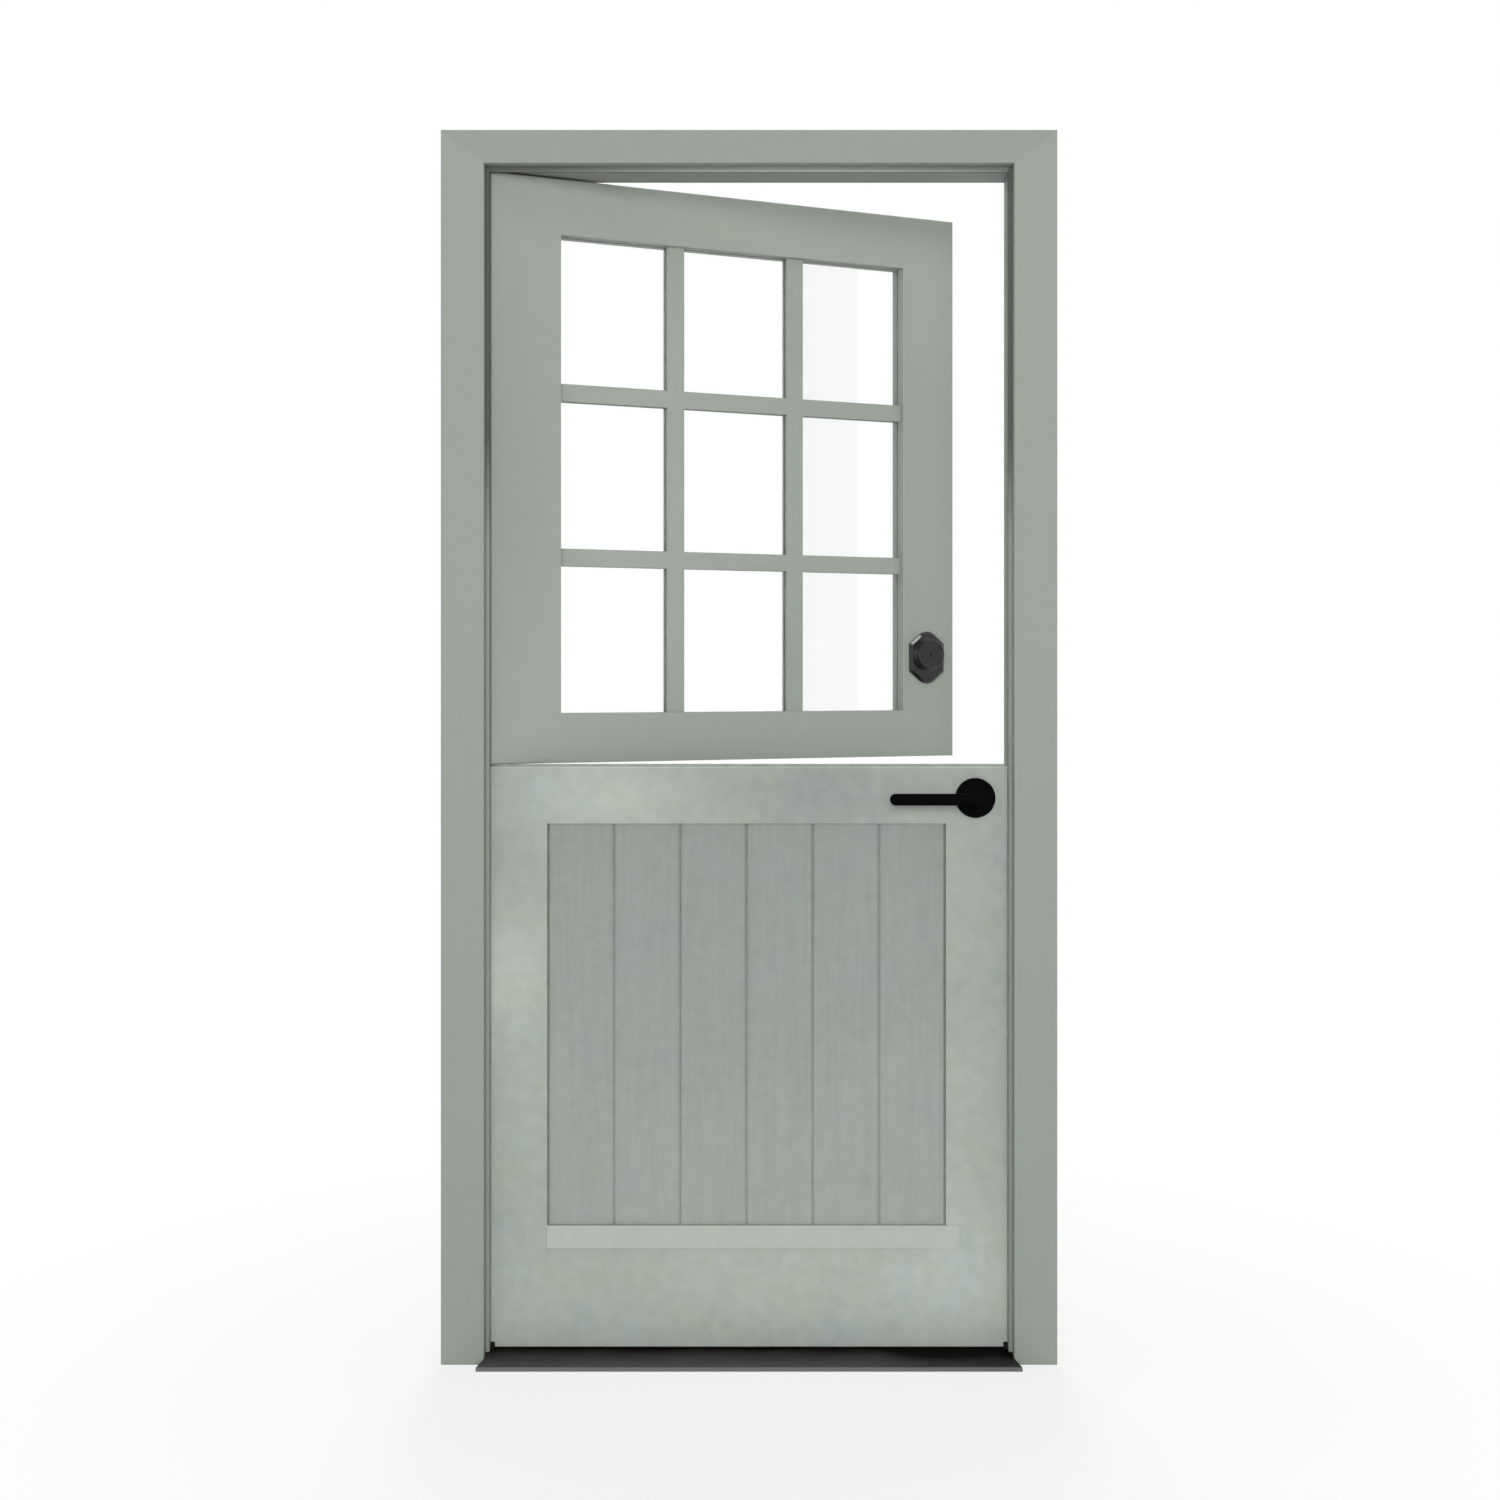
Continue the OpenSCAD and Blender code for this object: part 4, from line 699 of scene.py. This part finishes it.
def hinge_spots(heights, x, way):
    """Screws of the hinge plates at these heights, on the face at x."""
    return [
        (Vector((x, PLATE_SCREW_Y + aside, height + up)), Vector((way, 0.0, 0.0)))
        for height in heights
        for up, aside in PLATE_SCREWS
    ]


def face_spots(x, way, height, apart):
    """The two screws of a strike or a faceplate, on the face at x."""
    return [(Vector((x, LEAF_MIDDLE, height + up)), Vector((way, 0.0, 0.0))) for up in (-apart, apart)]


# Distance of the screws from the middle of strikes, faceplates, and the joining bolt's plate and keep.
STRIKE_SCREW = 0.0266
FACE_SCREW = 0.0225
JOINING_SCREW = 0.016
FRAME_SPOTS = (
    hinge_spots(UPPER_HINGES + LOWER_HINGES, HINGE_JAMB_FACE, 1.0)
    + face_spots(LOCK_JAMB_FACE, -1.0, LEVER_HEIGHT, STRIKE_SCREW)
    + face_spots(LOCK_JAMB_FACE, -1.0, DEADBOLT_HEIGHT, STRIKE_SCREW)
)
LOWER_SPOTS = (
    hinge_spots(LOWER_HINGES, LEAF_HINGE_EDGE, -1.0)
    + face_spots(LEAF_LOCK_EDGE, 1.0, LEVER_HEIGHT, FACE_SCREW)
)
UPPER_SPOTS = [
    swung(spot)
    for spot in hinge_spots(UPPER_HINGES, LEAF_HINGE_EDGE, -1.0)
    + face_spots(LEAF_LOCK_EDGE, 1.0, DEADBOLT_HEIGHT, FACE_SCREW)
]
INWARDS = Vector((0.0, 1.0, 0.0))


def joining_spots(rows):
    """Pairs of screws beside the joining bolt, at these heights."""
    return [
        (Vector((JOINING_MIDDLE + aside, JOINING_FACE, height)), INWARDS)
        for height in rows
        for aside in (-JOINING_SCREW, JOINING_SCREW)
    ]


KEEP_SPOTS = [swung(spot) for spot in joining_spots(KEEP_ROWS)]
screws("frame_screws", "frame", STEEL, FRAME_SPOTS)
screws("lower_leaf_screws", "lower_leaf", STEEL, LOWER_SPOTS)
screws("upper_leaf_screws", "upper_leaf", STEEL, UPPER_SPOTS)
screws("joining_plate_screws", "lower_leaf", BOLTS, joining_spots(JOINING_ROWS))
screws("joining_keep_screws", "upper_leaf", BOLTS, KEEP_SPOTS)

# Floor, light and camera.
FLOOR_SIZE = 40.0
FLOOR_WHITES = ((0.93, 0.93, 0.93, 1.0), (0.95, 0.95, 0.95, 1.0))
WHITE = (1.0, 1.0, 1.0, 1.0)
# Distances from the door between which the floor turns plain white, and its share of plain white there.
SHADOW_REACH = (0.5, 1.6)
WHITE_SHARE = (0.72, 1.0)
AMBIENT = 0.35
LEAF_AIM = (0.0, 0.0, 1.0)
# Each lamp's name, place, aim, width and height, and power.
LAMPS = (
    ("key lamp", (-0.8, -8.0, 2.8), LEAF_AIM, (2.2, 2.2), 195.0),
    ("fill lamp", (1.2, -8.0, 1.8), LEAF_AIM, (2.6, 2.6), 135.0),
    ("back lamp", (0.0, 5.5, 5.5), LEAF_AIM, (3.0, 2.0), 190.0),
    ("top lamp", (0.0, 0.4, 4.6), (0.0, 0.1, 0.0), (4.0, 3.0), 34.0),
    ("high lamp", (0.45, -1.87, 4.54), (0.33, 0.37, 1.22), (0.4, 0.25), 5.0),
)
# The camera, in pixels of its square picture and in metres.
HORIZON_PX = 676
PRINCIPAL_X_PX = 749.1
FOCAL_PX = 1924
PHOTO_PX = 1500
CAMERA_PLACE = (0.0, -3.329, 1.185)


def seen_directly(w):
    """1 for rays that show a surface: straight from the camera, mirrored or through glass."""
    ray = w.add("ShaderNodeLightPath").outputs
    straight = w.math("MAXIMUM", ray["Is Camera Ray"], ray["Is Glossy Ray"])
    return w.math("MAXIMUM", straight, ray["Is Transmission Ray"])


def floor():
    """A pale floor that keeps the door's shadow close by and is plain white farther off."""
    mesh = bpy.data.meshes.new("floor")
    half = FLOOR_SIZE / 2
    corners = [(-half, -half, 0), (half, -half, 0), (half, half, 0), (-half, half, 0)]
    mesh.from_pydata(corners, [], [(0, 1, 2, 3)])
    piece = bpy.data.objects.new("floor", mesh)
    bpy.context.scene.collection.objects.link(piece)
    material, w, shader, output = blank_material("floor, white")
    place = w.add("ShaderNodeTexCoord").outputs["Object"]
    cloud = w.noise(place, 2.0, 2.0)
    w.feed(shader.inputs["Base Color"], w.mix(w.spread(cloud, 0.3, 0.7), *FLOOR_WHITES))
    shader.inputs["Roughness"].default_value = 0.9
    shader.inputs["Specular IOR Level"].default_value = 0.0
    away = w.add("ShaderNodeVectorMath", {0: place}, operation="LENGTH").outputs["Value"]
    share = w.math("MULTIPLY", w.spread(away, *SHADOW_REACH, *WHITE_SHARE), seen_directly(w))
    white = w.add("ShaderNodeEmission", {"Color": WHITE, "Strength": 1.0}).outputs[0]
    both = w.add("ShaderNodeMixShader", {0: share, 1: shader.outputs[0], 2: white}).outputs[0]
    w.feed(output.inputs["Surface"], both)
    mesh.materials.append(material)


def sky(ambient):
    """A white surround: plain white where it is seen, mirrored or looked through to, soft light elsewhere."""
    world = bpy.data.worlds.new("white surround")
    bpy.context.scene.world = world
    world.use_nodes = True
    world.node_tree.nodes.clear()
    w = Wiring(world.node_tree)
    strength = w.math("ADD", ambient, w.math("MULTIPLY", seen_directly(w), 1.0 - ambient))
    background = w.add("ShaderNodeBackground", {"Color": WHITE, "Strength": strength})
    w.add("ShaderNodeOutputWorld", {"Surface": background.outputs[0]})


def lamp(name, place, aim, size, power):
    """A large soft lamp that looks at a point."""
    data = bpy.data.lights.new(name, "AREA")
    data.shape = "RECTANGLE"
    data.size, data.size_y = size
    data.energy = power
    made = bpy.data.objects.new(name, data)
    made.location = place
    made.rotation_euler = (Vector(aim) - Vector(place)).to_track_quat("-Z", "Y").to_euler()
    bpy.context.scene.collection.objects.link(made)


def camera():
    """The camera looks straight along Y, with its picture shifted."""
    data = bpy.data.cameras.new("photo camera")
    data.sensor_width = 36.0
    data.lens = data.sensor_width * FOCAL_PX / PHOTO_PX
    data.shift_x = (PHOTO_PX / 2 - PRINCIPAL_X_PX) / PHOTO_PX
    data.shift_y = (HORIZON_PX - PHOTO_PX / 2) / PHOTO_PX
    made = bpy.data.objects.new("photo camera", data)
    made.location = CAMERA_PLACE
    made.rotation_euler = (math.pi / 2, 0.0, 0.0)
    bpy.context.scene.collection.objects.link(made)
    bpy.context.scene.camera = made


floor()
sky(AMBIENT)
for settings in LAMPS:
    lamp(*settings)
camera()
bpy.context.scene.view_settings.view_transform = "Standard"
